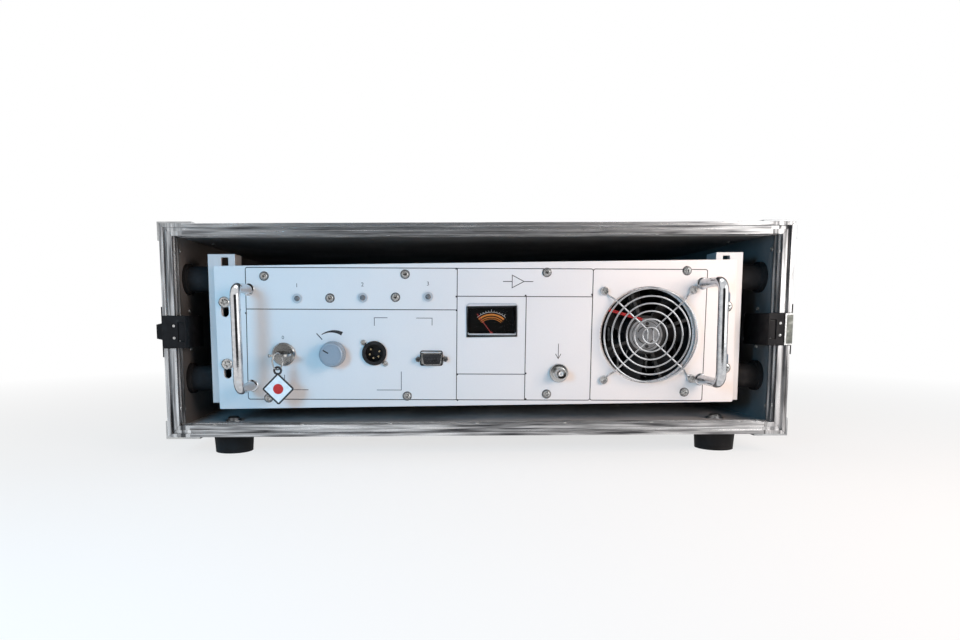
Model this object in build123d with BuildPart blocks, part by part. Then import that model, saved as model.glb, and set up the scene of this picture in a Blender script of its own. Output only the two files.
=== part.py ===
from build123d import *
import os
from math import cos, radians, sin

os.makedirs("parts", exist_ok=True)

# Clearances and cutting allowance
run_fit = 0.05
hole_fit = 0.2
seat_gap = 0.3
overrun = 1.0
head_edge_share = 0.33

# Front panel of the amplifier, three rack units tall
panel_width = 482.6
panel_height = 132.5
panel_thick = 4.0
panel_corner = 1.2
panel_roll = 0.5
panel_setback = 22.0
panel_gap_below = 16.5
panel_gap_above = 25.0
slot_edge = 8.8
slot_rise = 28.6
slot_length = 18.0
slot_width = 7.0

# Rack rails and the welded inner frame
rail_inner_margin = 9.5
rail_outer_margin = 15.5
rail_thick = 3.0
rail_depth = 22.0
rail_over = 5.5
rail_lift = 6.2
rail_slot_width = 6.6
rail_slot_end = 3.0
frame_plate = 2.0
frame_height = 126.0
frame_back_gap = 57.5
tie_width = 20.0
tie_thick = 3.0
tie_inset = 14.0

# Rubber shock mounts between the frame and the case walls
mount_length = 25.5
mount_body = 24.0
mount_flange = 29.0
mount_flange_thick = 4.0
mount_cap = 20.0
mount_cap_thick = 2.0
mount_rise = 47.0
mount_behind_rim = 43.0
mount_from_end = 34.0

# Rack screws and their sliding nuts
rack_screw_shank = 5.5
rack_screw_head = 10.5
rack_screw_head_thick = 3.2
rack_screw_tail = 6.0
rack_nut = 11.0
rack_nut_thick = 4.5
left_screw_share = 0.82
right_screw_share = -1.0

# Case boards and aluminium edging
board = 7.0
skin = 1.5
case_depth = 440.0
rim_web = 5.0
rim_flange_out = 21.0
rim_flange_in = 17.0
groove_width = 3.4
groove_depth = 3.0
rib_count = 3
rib_height = 0.8
rib_width = 2.0
mitre_gap = 0.2
edge_leg = 22.0
rear_flange = 22.0
brace = 1.5
brace_long = 29.0
brace_short = 15.0
brace_front_depth = 20.0
brace_rear_depth = 30.0

# Rubber feet
foot_height = 20.0
foot_top = 38.0
foot_bottom = 35.0
foot_inset = 48.5
foot_behind_rim = 41.0
foot_from_back = 52.0
foot_recess = 16.0
foot_recess_depth = 3.0
foot_screw_shank = 6.0
foot_screw_bite = 12.0
foot_washer = 16.0
foot_washer_thick = 1.4
foot_screw_head = 11.0
foot_screw_head_thick = 3.4

# Butterfly latches let into the side walls
dish_length = 48.0
dish_height = 29.0
dish_depth = 20.0
dish_sheet = 1.2
dish_flange = 8.0
dish_flange_thick = 1.2
latch_pivot_back = 24.0
latch_post = 6.0
hook_thick = 2.0
hook_width = 16.0
hook_front = 1.0
hook_tail = 15.0
hook_lip = 5.0
hook_travel = 10.0
hook_mouth_gap = 0.8
cam_size = 20.0
cam_thick = 4.0
ear_thick = 2.0
ear_width = 5.0
ear_over_pin = 2.4
wing_pin = 3.0
wing_pin_in = 5.0
wing_tab = 12.0
wing_neck = 4.0
wing_base = 19.4
wing_shoulder = 7.0
wing_tip = 13.0
wing_length = 20.0
wing_thick = 2.0
wing_barrel = 4.2
left_wing_angle = 90.0
right_wing_angle = 38.0

# Folding carrying handles on the side walls
carry_plate_margin = 4.7
carry_plate_height = 62.0
carry_plate = 2.0
carry_back_share = 0.55
carry_rod = 7.0
carry_bend = 9.0
carry_span = 104.0
carry_drop = 34.0
carry_hinge_rise = 18.0
carry_grip = 16.0
carry_grip_length = 78.0
carry_gap = 0.5
carry_lug_length = 10.0
carry_lug_height = 14.0
carry_lug_over = 5.0

# Amplifier chassis behind the panel
sheet = 1.5
chassis_depth = 300.0
chassis_side_gap = 8.0
chassis_trim = 3.25
flange_side = 7.0
flange_edge = 12.5
cover_lip = 10.0
cover_lip_thick = 1.2
rear_sheet = 2.0

# Bow handles
bow_rod = 8.7
bow_height = 45.0
bow_spacing = 89.0
bow_inset = 22.3
bow_bend = 9.0
bow_spigot = 5.0

# Panel screws
screw_inset = 9.75
screw_from_bow = 14.9
screw_inner_share = 0.3354
screw_shank = 3.9
screw_head = 7.6
screw_head_thick = 2.6
screw_reach = 11.0

# Indicator lamps and their board
lamp_rise = 35.6
lamp_first_share = 0.1375
lamp_pitch_share = 0.186
lamp_count = 3
lamp_bezel = 9.0
lamp_bezel_thick = 1.2
lamp_tube = 7.6
lamp_lens = 5.0
lamp_proud = 1.8
lamp_dome_share = 0.42
lamp_board_depth = 12.0
lamp_board_height = 14.0
lamp_board_thick = 1.6
lamp_board_end = 10.0
spacer = 6.5

# Key switch, key, ring and tag
key_share = 0.0944
key_drop = 15.5
key_bezel = 21.5
key_bezel_thick = 4.0
key_bezel_chamfer = 1.2
key_body = 18.8
key_body_depth = 30.0
plug_size = 11.0
plug_depth = 22.0
plug_proud = 0.6
keyway_width = 8.4
keyway_thick = 2.4
keyway_depth = 18.0
key_thick = 2.0
key_blade = 8.0
key_blade_length = 16.0
key_neck = 9.0
key_neck_length = 5.0
key_bow_width = 19.0
key_bow_length = 20.0
key_bow_corner = 6.0
key_strip = 2.4
key_hole = 8.8
ring_size = 16.0
ring_wire = 1.4
ring_turn = 25.0
ring_play = 0.5
tag_side = 20.5
tag_corner = 1.5
tag_thick = 1.2
tag_eyelet = 8.0
tag_eyelet_hole = 4.0

# Level control
knob_share = 0.2352
knob_drop = 16.0
knob_base = 24.0
knob_top = 22.0
knob_height = 16.5
knob_lift = 0.6
knob_edge = 1.2
knob_recess = 15.0
knob_recess_depth = 4.0
knob_bore_depth = 13.0
knob_mark_angle = 150.0
knob_mark_width = 1.2
knob_mark_depth = 0.5
knob_mark_share = 0.42
pot_shaft_size = 6.0
pot_bush = 9.2
pot_bush_proud = 3.2
pot_nut = 13.0
pot_nut_thick = 2.2
pot_case = 24.0
pot_case_depth = 12.0
pot_shaft_in = 9.0
pot_shaft_out = 13.0

# Five pole control socket
xlr_share = 0.353
xlr_drop = 15.8
xlr_collar = 22.6
xlr_collar_thick = 2.5
xlr_body = 20.0
xlr_body_depth = 20.0
xlr_bore = 16.4
xlr_bore_depth = 12.0
xlr_flange = 27.0
xlr_flange_thick = 2.0
xlr_screw_offset = 10.0
xlr_pin = 1.7
xlr_pin_circle = 9.6
xlr_pin_count = 5
xlr_pin_start = 18.0
xlr_pin_step = 61.0
xlr_pin_length = 9.5
socket_screw_head = 5.4
socket_screw_shank = 2.8
socket_screw_head_thick = 2.0
socket_screw_reach = 6.0

# Nine pole data socket
dsub_share = 0.5175
dsub_drop = 22.0
dsub_width = 19.6
dsub_height = 11.2
dsub_slant = 80.0
dsub_corner = 2.2
dsub_wall = 0.8
dsub_proud = 5.0
dsub_insert_recess = 0.8
dsub_back = 8.0
dsub_flange_width = 31.0
dsub_flange_height = 12.8
dsub_flange_thick = 1.2
dsub_screw_spacing = 25.0
jack_head = 5.0
jack_head_thick = 5.0
dsub_pin_hole = 1.1
dsub_pin_pitch = 2.76
dsub_row_pitch = 2.84
dsub_hole_depth = 4.0

# Level meter
meter_share = 0.6903
meter_rise = 12.1
meter_width = 47.0
meter_height = 28.5
meter_proud = 0.8
meter_frame = 1.8
meter_flange = 3.0
meter_flange_thick = 2.0
meter_depth = 26.0
meter_cavity_depth = 9.0
meter_window_thick = 1.2
meter_rebate = 0.7
meter_dial_thick = 0.8
needle_pivot_drop = 11.0
needle_length = 22.6
needle_width = 0.7
needle_thick = 0.5
needle_lift = 3.0
needle_hub = 2.8
needle_staff = 1.2
needle_staff_in = 2.5
needle_rest = 126.0

# Signal socket
bnc_share = 0.8822
bnc_drop = 36.7
bnc_nut = 17.5
bnc_nut_thick = 3.0
bnc_barrel = 9.7
bnc_proud = 15.0
bnc_lug = 2.0
bnc_lug_reach = 11.2
bnc_lug_back = 5.0
bnc_thread = 12.7
bnc_thread_depth = 12.0
bnc_bore = 8.3
bnc_bore_depth = 11.0
bnc_insulator = 4.6
bnc_insulator_length = 8.0
bnc_pin_bore = 1.4

# Cooling fan and its guard
fan_size = 92.5
fan_thick = 25.0
fan_corner = 5.0
fan_bore = 89.0
fan_window = 90.0
fan_hole_spacing = 82.5
fan_screw = 4.0
fan_screw_head = 7.0
fan_screw_head_thick = 2.6
fan_screw_tail = 18.0
fan_drop = 2.5
fan_from_bow = 50.2
strut_count = 4
strut_width = 3.0
strut_thick = 4.0
strut_turn = 20.0
strut_set = 1.5
stator_hub = 36.0
stator_thick = 5.0
rotor_hub = 37.0
rotor_gap = 1.2
rotor_depth = 16.5
rotor_shaft = 3.0
rotor_shaft_in = 4.0
blade_count = 7
blade_tip_gap = 1.5
blade_chord = 19.0
blade_thick = 1.5
blade_root_pitch = 52.0
blade_tip_pitch = 33.0
blade_sink = 1.0
guard_wire = 1.6
guard_ring_radii = (7.4, 15.0, 22.3, 29.3, 36.0, 43.0)
guard_eye = 8.2
guard_lift = 1.0
guard_rise = 6.4
guard_foot_share = 0.07
guard_knee_share = 0.20
guard_weld_share = 0.75
guard_bow_gap = 5.4
guard_bow_length = 10.6
guard_bow_bend = 5.0

# Pieces inside the chassis
sink_width = 88.0
sink_base = 6.0
sink_length = 150.0
sink_fin_height = 64.0
sink_fin_thick = 2.0
sink_fin_count = 10
sink_start = 48.0
rf_width_share = 0.279
rf_length = 150.0
rf_thick = 1.6
rf_leg = 6.0
rf_leg_height = 9.0
rf_leg_inset = 8.0
rf_start = 60.0
rf_sink_gap = 28.0
rf_can_width = 26.0
rf_can_length = 40.0
rf_can_height = 18.0
rf_can_pitch = 46.0
rf_can_count = 3
supply_width_share = 0.256
supply_rear_gap = 54.0
supply_height = 62.0
supply_start = 70.0
supply_side_gap = 28.5
supply_edge = 2.0
supply_slot_width = 3.0
supply_slot_length = 36.0
supply_slot_depth = 2.0
supply_slot_pitch = 9.0
supply_slot_count = 11

# Rear panel sockets
inlet_share = -0.698
inlet_width = 27.0
inlet_height = 19.5
inlet_corner = 3.0
inlet_flange = 4.0
inlet_flange_thick = 3.0
inlet_depth = 22.0
inlet_recess_depth = 15.0
inlet_wall = 2.0
inlet_blade_width = 2.0
inlet_blade_height = 4.0
inlet_blade_length = 12.0
inlet_blade_pitch = 7.0
output_share = 0.558
output_flange = 25.0
output_flange_thick = 2.5
output_body = 15.8
output_proud = 11.0
output_inside = 9.0
output_bore = 8.5
output_bore_depth = 9.0
output_pin = 2.8
output_pin_length = 6.0
vent_width = 3.5
vent_height = 40.0
vent_pitch = 8.0
vent_count = 17

# Places worked out from the sizes above
slot_u = panel_width / 2 - slot_edge
rail_inner = slot_u - rail_inner_margin
rail_outer = slot_u + rail_outer_margin
inner_half = rail_outer + mount_length
case_width = 2 * (inner_half + board + skin)
inner_height = panel_height + panel_gap_below + panel_gap_above
case_height = inner_height + 2 * (board + skin)
case_middle = foot_height + case_height / 2
panel_z = foot_height + skin + board + panel_gap_below + panel_height / 2
rail_height = panel_height + rail_over
rail_z = panel_z + rail_lift
bow_out = bow_height + bow_rod / 2 - panel_setback
rim_y = (bow_out - case_depth - brace) / 2
panel_y = rim_y + panel_setback
rail_y = panel_y + panel_thick
back_y = rim_y + case_depth
frame_y = rail_y + rail_thick
frame_depth = back_y - skin - board - frame_back_gap - frame_y
wall_outer = case_width / 2 - skin
bow_u = slot_u - bow_inset
fan_u = bow_u - fan_from_bow
control_span = bow_u + fan_u - fan_window / 2
screw_v = panel_height / 2 - screw_inset
screw_outer = bow_u - screw_from_bow
screw_inner = screw_inner_share * screw_outer
chassis_half = rail_inner - chassis_side_gap
chassis_rise = panel_height / 2 - chassis_trim
chassis_back = panel_thick + chassis_depth
carry_y = rim_y + carry_back_share * case_depth
carry_lift = carry_plate + carry_gap + carry_grip / 2
lug_y = carry_span / 2 + carry_bend + seat_gap + carry_lug_length / 2
carry_plate_length = 2 * (lug_y + carry_lug_length / 2 + carry_plate_margin)
supply_width = 2 * supply_width_share * chassis_half
supply_length = chassis_back - supply_start - supply_rear_gap
supply_offset = sheet + supply_side_gap + supply_width / 2 - chassis_half
rf_width = 2 * rf_width_share * chassis_half
rf_offset = fan_u - sink_width / 2 - rf_sink_gap - rf_width / 2
inlet_offset = inlet_share * chassis_half
output_offset = output_share * chassis_half


def control_u(share):
    """Place of a control along the panel, as a share of the way from the left handle to the fan."""
    return share * control_span - bow_u


key_u = control_u(key_share)
knob_u = control_u(knob_share)
xlr_u = control_u(xlr_share)
dsub_u = control_u(dsub_share)
meter_u = control_u(meter_share)
bnc_u = control_u(bnc_share)
lamp_us = [control_u(lamp_first_share + k * lamp_pitch_share) for k in range(lamp_count)]
lamp_screw_us = [(lamp_us[k] + lamp_us[k + 1]) / 2 for k in range(lamp_count - 1)]
fan_centre = (fan_u, -fan_drop)
fan_corners = [
    (fan_u + side * fan_hole_spacing / 2, rise * fan_hole_spacing / 2 - fan_drop)
    for side in (-1, 1)
    for rise in (-1, 1)
]
edge_screws = [
    (side * offset, rise * screw_v)
    for side in (-1, 1)
    for offset in (screw_outer, screw_inner)
    for rise in (-1, 1)
]
xlr_screws = [
    (xlr_u + side * xlr_screw_offset, -xlr_drop - side * xlr_screw_offset) for side in (-1, 1)
]
dsub_screws = [(dsub_u + side * dsub_screw_spacing / 2, -dsub_drop) for side in (-1, 1)]
slot_play = (slot_length - slot_width) / 2
rack_screw_places = [
    (side * slot_u, rise * slot_rise + share * slot_play)
    for side, share in ((-1, left_screw_share), (1, right_screw_share))
    for rise in (-1, 1)
]
foot_places = [
    (side * (case_width / 2 - foot_inset), y)
    for side in (-1, 1)
    for y in (rim_y + foot_behind_rim, back_y - foot_from_back)
]

roll_dir = (cos(radians(panel_roll)), 0, sin(radians(panel_roll)))
panel_face = Plane(origin=(0, panel_y, panel_z), x_dir=roll_dir, z_dir=(0, -1, 0))


def panel_plane(depth):
    """Plane of the rolled panel, a given depth behind its front face, facing the front."""
    return panel_face.offset(-depth)


def front_plane(y):
    """Plane across the case at a given place along its depth, facing the front."""
    return Plane(origin=(0, y, case_middle), x_dir=(1, 0, 0), z_dir=(0, -1, 0))


def side_plane(side, x, y, z):
    """Plane parallel to a side wall, facing outwards, with its first axis towards the back."""
    return Plane(origin=(side * x, y, z), x_dir=(0, 1, 0), z_dir=(side, 0, 0))


def discs(plane, places, size, length, mode=Mode.ADD):
    """Round bars or holes of one diameter, standing on a plane."""
    with BuildSketch(plane) as outline:
        with Locations(*places):
            Circle(size / 2)
    extrude(outline.sketch, amount=length, mode=mode)


def blocks(plane, places, width, height, length, mode=Mode.ADD):
    """Rectangular bars or holes of one section, standing on a plane."""
    with BuildSketch(plane) as outline:
        with Locations(*places):
            Rectangle(width, height)
    extrude(outline.sketch, amount=length, mode=mode)


def hoop(plane, outer, inner, depth):
    """Rectangular hoop around the case, running back from a plane."""
    with BuildSketch(plane) as outline:
        Rectangle(*outer)
        Rectangle(*inner, mode=Mode.SUBTRACT)
    extrude(outline.sketch, amount=-depth)


def around(allowance):
    """Width and height of the case section, enlarged by an allowance on each side."""
    return (case_width + 2 * allowance, case_height + 2 * allowance)


def keep_corners(plane, along, down, allowance, depth):
    """Cuts a hoop away between its corners, leaving the given lengths at each."""
    blocks(plane, [(0, 0)], case_width - 2 * along, case_height + 2 * allowance, -depth, Mode.SUBTRACT)
    blocks(plane, [(0, 0)], case_width + 2 * allowance, case_height - 2 * down, -depth, Mode.SUBTRACT)


def mitres(plane, width, depth):
    """Fine diagonal saw cuts that part a hoop of a given width into four mitred lengths."""
    for across in (-1, 1):
        for up in (-1, 1):
            corner = (across * case_width / 2, up * case_height / 2)
            with BuildSketch(plane) as outline:
                with Locations(corner):
                    Rectangle(4 * width, mitre_gap, rotation=45 * across * up)
            extrude(outline.sketch, amount=-depth, mode=Mode.SUBTRACT)


def latch_cutout(side):
    """Opening of a latch dish through a side wall, from its front edge."""
    plane = side_plane(side, case_width / 2 + overrun, rim_y - overrun, case_middle)
    length = dish_length + overrun + hole_fit
    depth = dish_depth + overrun
    blocks(plane, [(length / 2, 0)], length, dish_height + 2 * hole_fit, -depth, Mode.SUBTRACT)


def finish(piece, name):
    """Labels a finished piece and writes it out."""
    piece.part.label = name
    export_step(piece.part, f"parts/{name}.step")


# Plywood boards of the case
board_length = case_depth - rim_web - skin
board_middle_y = rim_y + rim_web + board_length / 2
lid_width = case_width - 2 * skin
wall_height = case_height - 2 * (skin + board)

with BuildPart(Plane.XY.offset(foot_height + case_height - skin)) as case_top:
    with Locations((0, board_middle_y, -board / 2)):
        Box(lid_width, board_length, board)
finish(case_top, "case_top")

with BuildPart(Plane.XY.offset(foot_height + skin)) as case_bottom:
    with Locations((0, board_middle_y, board / 2)):
        Box(lid_width, board_length, board)
    discs(Plane.XY.offset(foot_height), foot_places, foot_screw_shank + 2 * hole_fit,
          2 * board + skin, Mode.SUBTRACT)
finish(case_bottom, "case_bottom")

for side, name in ((-1, "case_left"), (1, "case_right")):
    with BuildPart(side_plane(side, wall_outer, board_middle_y, case_middle)) as case_side:
        with Locations((0, 0, -board / 2)):
            Box(board_length, wall_height, board)
        latch_cutout(side)
    finish(case_side, name)

with BuildPart(front_plane(back_y - skin)) as case_back:
    with Locations((0, 0, board / 2)):
        Box(lid_width - 2 * board, wall_height, board)
finish(case_back, "case_back")

# Grooved closing extrusion round the open front, in four mitred lengths
rim_inside = -2 * skin - board
with BuildPart() as front_rim:
    hoop(front_plane(rim_y), around(0), around(rim_inside), rim_web)
    hoop(front_plane(rim_y), around(0), around(-skin), rim_flange_out)
    hoop(front_plane(rim_y), around(-skin - board), around(rim_inside), rim_flange_in)
    for k in range(rib_count):
        rib_y = rim_y + (rim_flange_in - rib_width) * k / (rib_count - 1)
        hoop(front_plane(rib_y), around(rim_inside + skin / 2), around(rim_inside - rib_height), rib_width)
    groove_out = rim_inside / 2 + groove_width / 2
    with BuildSketch(front_plane(rim_y)) as groove:
        Rectangle(*around(groove_out))
        Rectangle(*around(groove_out - groove_width), mode=Mode.SUBTRACT)
    extrude(groove.sketch, amount=-groove_depth, mode=Mode.SUBTRACT)
    mitres(front_plane(rim_y), board + 2 * skin, rim_flange_out)
    for side in (-1, 1):
        latch_cutout(side)
finish(front_rim, "front_rim")

# Angle extrusions along the other edges
with BuildPart() as edge_angles:
    angle_y = rim_y + rim_flange_out + mitre_gap
    angle_length = case_depth - rim_flange_out - rear_flange - 2 * mitre_gap
    hoop(front_plane(angle_y), around(0), around(-skin), angle_length)
    keep_corners(front_plane(angle_y), edge_leg, edge_leg, overrun, angle_length)
    hoop(front_plane(back_y - rear_flange), around(0), around(-skin), rear_flange)
    hoop(front_plane(back_y - skin), around(0), around(-edge_leg), skin)
    mitres(front_plane(back_y - rear_flange), edge_leg, rear_flange)
finish(edge_angles, "edge_angles")

# Sheet metal braces over the eight corners
with BuildPart() as corner_braces:
    hoop(front_plane(rim_y), around(brace), around(0), brace_front_depth)
    hoop(front_plane(back_y - brace_rear_depth), around(brace), around(0), brace_rear_depth + brace)
    hoop(front_plane(back_y), around(brace), around(-brace_short), brace)
    keep_corners(front_plane(rim_y), brace_long, brace_short, brace + overrun, case_depth + 2 * brace)
finish(corner_braces, "corner_braces")

# Rubber feet and the bolts that hold them
foot_full = foot_height + skin
with BuildPart() as feet:
    with Locations(*foot_places):
        Cone(foot_bottom / 2, foot_top / 2, foot_full, align=(Align.CENTER, Align.CENTER, Align.MIN))
    discs(Plane.XY, foot_places, foot_recess, foot_recess_depth, Mode.SUBTRACT)
    discs(Plane.XY.offset(foot_full), foot_places, foot_screw_shank + 2 * hole_fit,
          -foot_screw_bite - seat_gap, Mode.SUBTRACT)
finish(feet, "feet")

floor_z = foot_full + board
with BuildPart() as foot_screws:
    discs(Plane.XY.offset(floor_z), foot_places, foot_screw_shank, -board - foot_screw_bite)
    discs(Plane.XY.offset(floor_z), foot_places, foot_washer, foot_washer_thick)
    discs(Plane.XY.offset(floor_z), foot_places, foot_screw_head, foot_washer_thick + foot_screw_head_thick)
    chamfer(faces().sort_by(Axis.Z)[-len(foot_places):].edges(), foot_washer_thick)
finish(foot_screws, "foot_screws")

# Latch dishes, each with a mouth for its hook at the rim and the fixed post of its latch
dish_floor = case_width / 2 - dish_depth
hook_bottom = dish_floor + dish_sheet + seat_gap
cam_bottom = hook_bottom + hook_thick + seat_gap
cam_top = cam_bottom + cam_thick
wing_hinge = case_width / 2 - wing_pin_in
pivot_y = rim_y + latch_pivot_back
with BuildPart() as latch_dishes:
    for side in (-1, 1):
        floor = side_plane(side, dish_floor, rim_y, case_middle)
        face = side_plane(side, case_width / 2, rim_y, case_middle)
        blocks(floor, [(dish_length / 2, 0)], dish_length, dish_height, dish_depth)
        flange_length = dish_length + dish_flange
        flange_height = dish_height + 2 * dish_flange
        blocks(face, [(flange_length / 2, 0)], flange_length, flange_height, dish_flange_thick)
        blocks(floor.offset(dish_sheet), [(dish_length / 2, 0)], dish_length - 2 * dish_sheet,
               dish_height - 2 * dish_sheet, dish_depth + dish_flange_thick, Mode.SUBTRACT)
        blocks(floor.offset(dish_sheet), [(0, 0)], 4 * dish_sheet, hook_width + 2 * hook_mouth_gap,
               hook_lip + hook_mouth_gap, Mode.SUBTRACT)
        discs(floor, [(latch_pivot_back, 0)], latch_post, cam_top - dish_floor)
finish(latch_dishes, "latch_dishes")


def wing_plane(side, angle):
    """Plane of a latch wing raised by an angle from lying flat towards the back."""
    lift = radians(angle)
    return Plane(
        origin=(side * wing_hinge, pivot_y, case_middle),
        x_dir=(side * sin(lift), cos(lift), 0),
        z_dir=(side * cos(lift), -sin(lift), 0),
    )


# Latch cams, hooks and folding wings
for side, word, angle in ((-1, "left", left_wing_angle), (1, "right", right_wing_angle)):
    ear_v = wing_tab / 2 + seat_gap + ear_thick / 2
    hinge_axis = Plane(origin=(side * wing_hinge, pivot_y, case_middle))
    with BuildPart() as latch_cam:
        disc_face = side_plane(side, cam_bottom, pivot_y, case_middle)
        discs(disc_face, [(0, 0)], cam_size, cam_thick)
        ear_height = wing_hinge + ear_over_pin - cam_bottom
        blocks(disc_face, [(0, -ear_v), (0, ear_v)], ear_width, ear_thick, ear_height)
        discs(disc_face, [(0, 0)], latch_post + 2 * run_fit, cam_thick, Mode.SUBTRACT)
        discs(hinge_axis.offset(-cam_size / 2), [(0, 0)], wing_pin + 2 * run_fit, cam_size, Mode.SUBTRACT)
    finish(latch_cam, f"{word}_latch_cam")

    with BuildPart() as latch_hook:
        hook_face = side_plane(side, hook_bottom, rim_y, case_middle)
        hook_length = latch_pivot_back + hook_tail - hook_front
        blocks(hook_face, [(hook_front + hook_length / 2, 0)], hook_length, hook_width, hook_thick)
        blocks(hook_face, [(hook_front + hook_thick / 2, 0)], hook_thick, hook_width, hook_lip)
        with BuildSketch(hook_face) as guide:
            with Locations((latch_pivot_back + hook_travel / 2, 0)):
                SlotCenterToCenter(hook_travel, latch_post + 2 * hole_fit)
        extrude(guide.sketch, amount=hook_thick, mode=Mode.SUBTRACT)
    finish(latch_hook, f"{word}_latch_hook")

    with BuildPart() as latch_wing:
        with BuildSketch(wing_plane(side, angle)) as blade:
            with BuildLine():
                Polyline(
                    (0, -wing_tab / 2),
                    (wing_neck, -wing_tab / 2),
                    (wing_neck, -wing_base / 2),
                    (wing_shoulder, -wing_base / 2),
                    (wing_length, -wing_tip / 2),
                    (wing_length, wing_tip / 2),
                    (wing_shoulder, wing_base / 2),
                    (wing_neck, wing_base / 2),
                    (wing_neck, wing_tab / 2),
                    (0, wing_tab / 2),
                    close=True,
                )
            make_face()
        extrude(amount=wing_thick / 2, both=True)
        discs(hinge_axis.offset(-wing_tab / 2), [(0, 0)], wing_barrel, wing_tab)
        pin_reach = ear_v + ear_thick / 2
        discs(hinge_axis.offset(-pin_reach), [(0, 0)], wing_pin, 2 * pin_reach)
    finish(latch_wing, f"{word}_latch_wing")

# Carrying handles: fixed plates with lugs, and folding bails
carry_hinge_z = case_middle + carry_hinge_rise
carry_grip_z = carry_hinge_z - carry_drop
carry_x = wall_outer + carry_lift
with BuildPart() as carry_plates:
    for side in (-1, 1):
        wall = side_plane(side, wall_outer, carry_y, case_middle)
        blocks(wall, [(0, 0)], carry_plate_length, carry_plate_height, carry_plate)
        lug_places = [(end * lug_y, side * carry_hinge_rise) for end in (-1, 1)]
        blocks(wall, lug_places, carry_lug_length, carry_lug_height, carry_lift + carry_lug_over)
    for side in (-1, 1):
        bore = Plane(origin=(side * carry_x, carry_y, carry_hinge_z), z_dir=(0, 1, 0))
        discs(bore.offset(-carry_plate_length / 2), [(0, 0)], carry_rod + 2 * run_fit,
              carry_plate_length, Mode.SUBTRACT)
finish(carry_plates, "carry_plates")

for side, word in ((-1, "left"), (1, "right")):
    x = side * carry_x
    trunnion_y = lug_y + carry_lug_length / 2
    with BuildPart() as handle_bail:
        with BuildLine() as route:
            FilletPolyline(
                (x, carry_y - trunnion_y, carry_hinge_z),
                (x, carry_y - carry_span / 2, carry_hinge_z),
                (x, carry_y - carry_span / 2, carry_grip_z),
                (x, carry_y + carry_span / 2, carry_grip_z),
                (x, carry_y + carry_span / 2, carry_hinge_z),
                (x, carry_y + trunnion_y, carry_hinge_z),
                radius=carry_bend,
            )
        with BuildSketch(Plane(origin=route.line @ 0, z_dir=route.line % 0)):
            Circle(carry_rod / 2)
        sweep()
        grip_end = Plane(origin=(x, carry_y - carry_grip_length / 2, carry_grip_z), z_dir=(0, 1, 0))
        discs(grip_end, [(0, 0)], carry_grip, carry_grip_length)
    finish(handle_bail, f"{word}_handle_bail")

# Rack rails, welded inner frame and shock mounts
rail_width = rail_outer - rail_inner
with BuildPart() as rack_rails:
    for side in (-1, 1):
        face = Plane(origin=(0, rail_y, rail_z), x_dir=(1, 0, 0), z_dir=(0, -1, 0))
        middle = side * (rail_inner + rail_outer) / 2
        blocks(face, [(middle, 0)], rail_width, rail_height, -rail_thick)
        leg_places = [
            (side * (rail_inner + rail_thick / 2), 0),
            (side * (rail_outer - frame_plate - rail_thick / 2), 0),
        ]
        blocks(face, leg_places, rail_thick, rail_height, -rail_depth)
        blocks(face, [(side * slot_u, 0)], rail_slot_width, rail_height - 2 * rail_slot_end,
               -rail_thick, Mode.SUBTRACT)
finish(rack_rails, "rack_rails")

tie_y = frame_y + frame_depth - tie_inset
with BuildPart() as rack_frame:
    for side in (-1, 1):
        plate = side_plane(side, rail_outer - frame_plate, frame_y, rail_z)
        blocks(plate, [(frame_depth / 2, 0)], frame_depth, frame_height, frame_plate)
    for rise in (-1, 1):
        tie_z = rail_z + rise * (frame_height - tie_thick) / 2
        with Locations((0, tie_y, tie_z)):
            Box(2 * (rail_outer - frame_plate), tie_width, tie_thick)
finish(rack_frame, "rack_frame")

mount_ys = (rim_y + mount_behind_rim, frame_y + frame_depth - mount_from_end)
with BuildPart() as shock_mounts:
    for side in (-1, 1):
        seat = side_plane(side, rail_outer, 0, rail_z)
        places = [(y, rise * mount_rise) for y in mount_ys for rise in (-1, 1)]
        discs(seat, places, mount_cap, mount_cap_thick)
        body_length = mount_length - mount_cap_thick - mount_flange_thick
        discs(seat.offset(mount_cap_thick), places, mount_body, body_length)
        discs(seat.offset(mount_length - mount_flange_thick), places, mount_flange, mount_flange_thick)
finish(shock_mounts, "shock_mounts")

# Rack screws with their sliding nuts behind the rails
screw_end = panel_thick + rail_thick + rack_nut_thick + rack_screw_tail
nut_depth = panel_thick + rail_thick
with BuildPart() as rack_screws:
    blocks(panel_plane(nut_depth), rack_screw_places, rack_nut, rack_nut, -rack_nut_thick)
    discs(panel_plane(nut_depth), rack_screw_places, rack_screw_shank + 2 * hole_fit,
          -rack_nut_thick, Mode.SUBTRACT)
    discs(panel_plane(0), rack_screw_places, rack_screw_shank, -screw_end)
    discs(panel_plane(0), rack_screw_places, rack_screw_head, rack_screw_head_thick)
    head_faces = faces().sort_by(Axis.Y)[:len(rack_screw_places)]
    chamfer(head_faces.edges(), rack_screw_head_thick * head_edge_share)
finish(rack_screws, "rack_screws")

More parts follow.
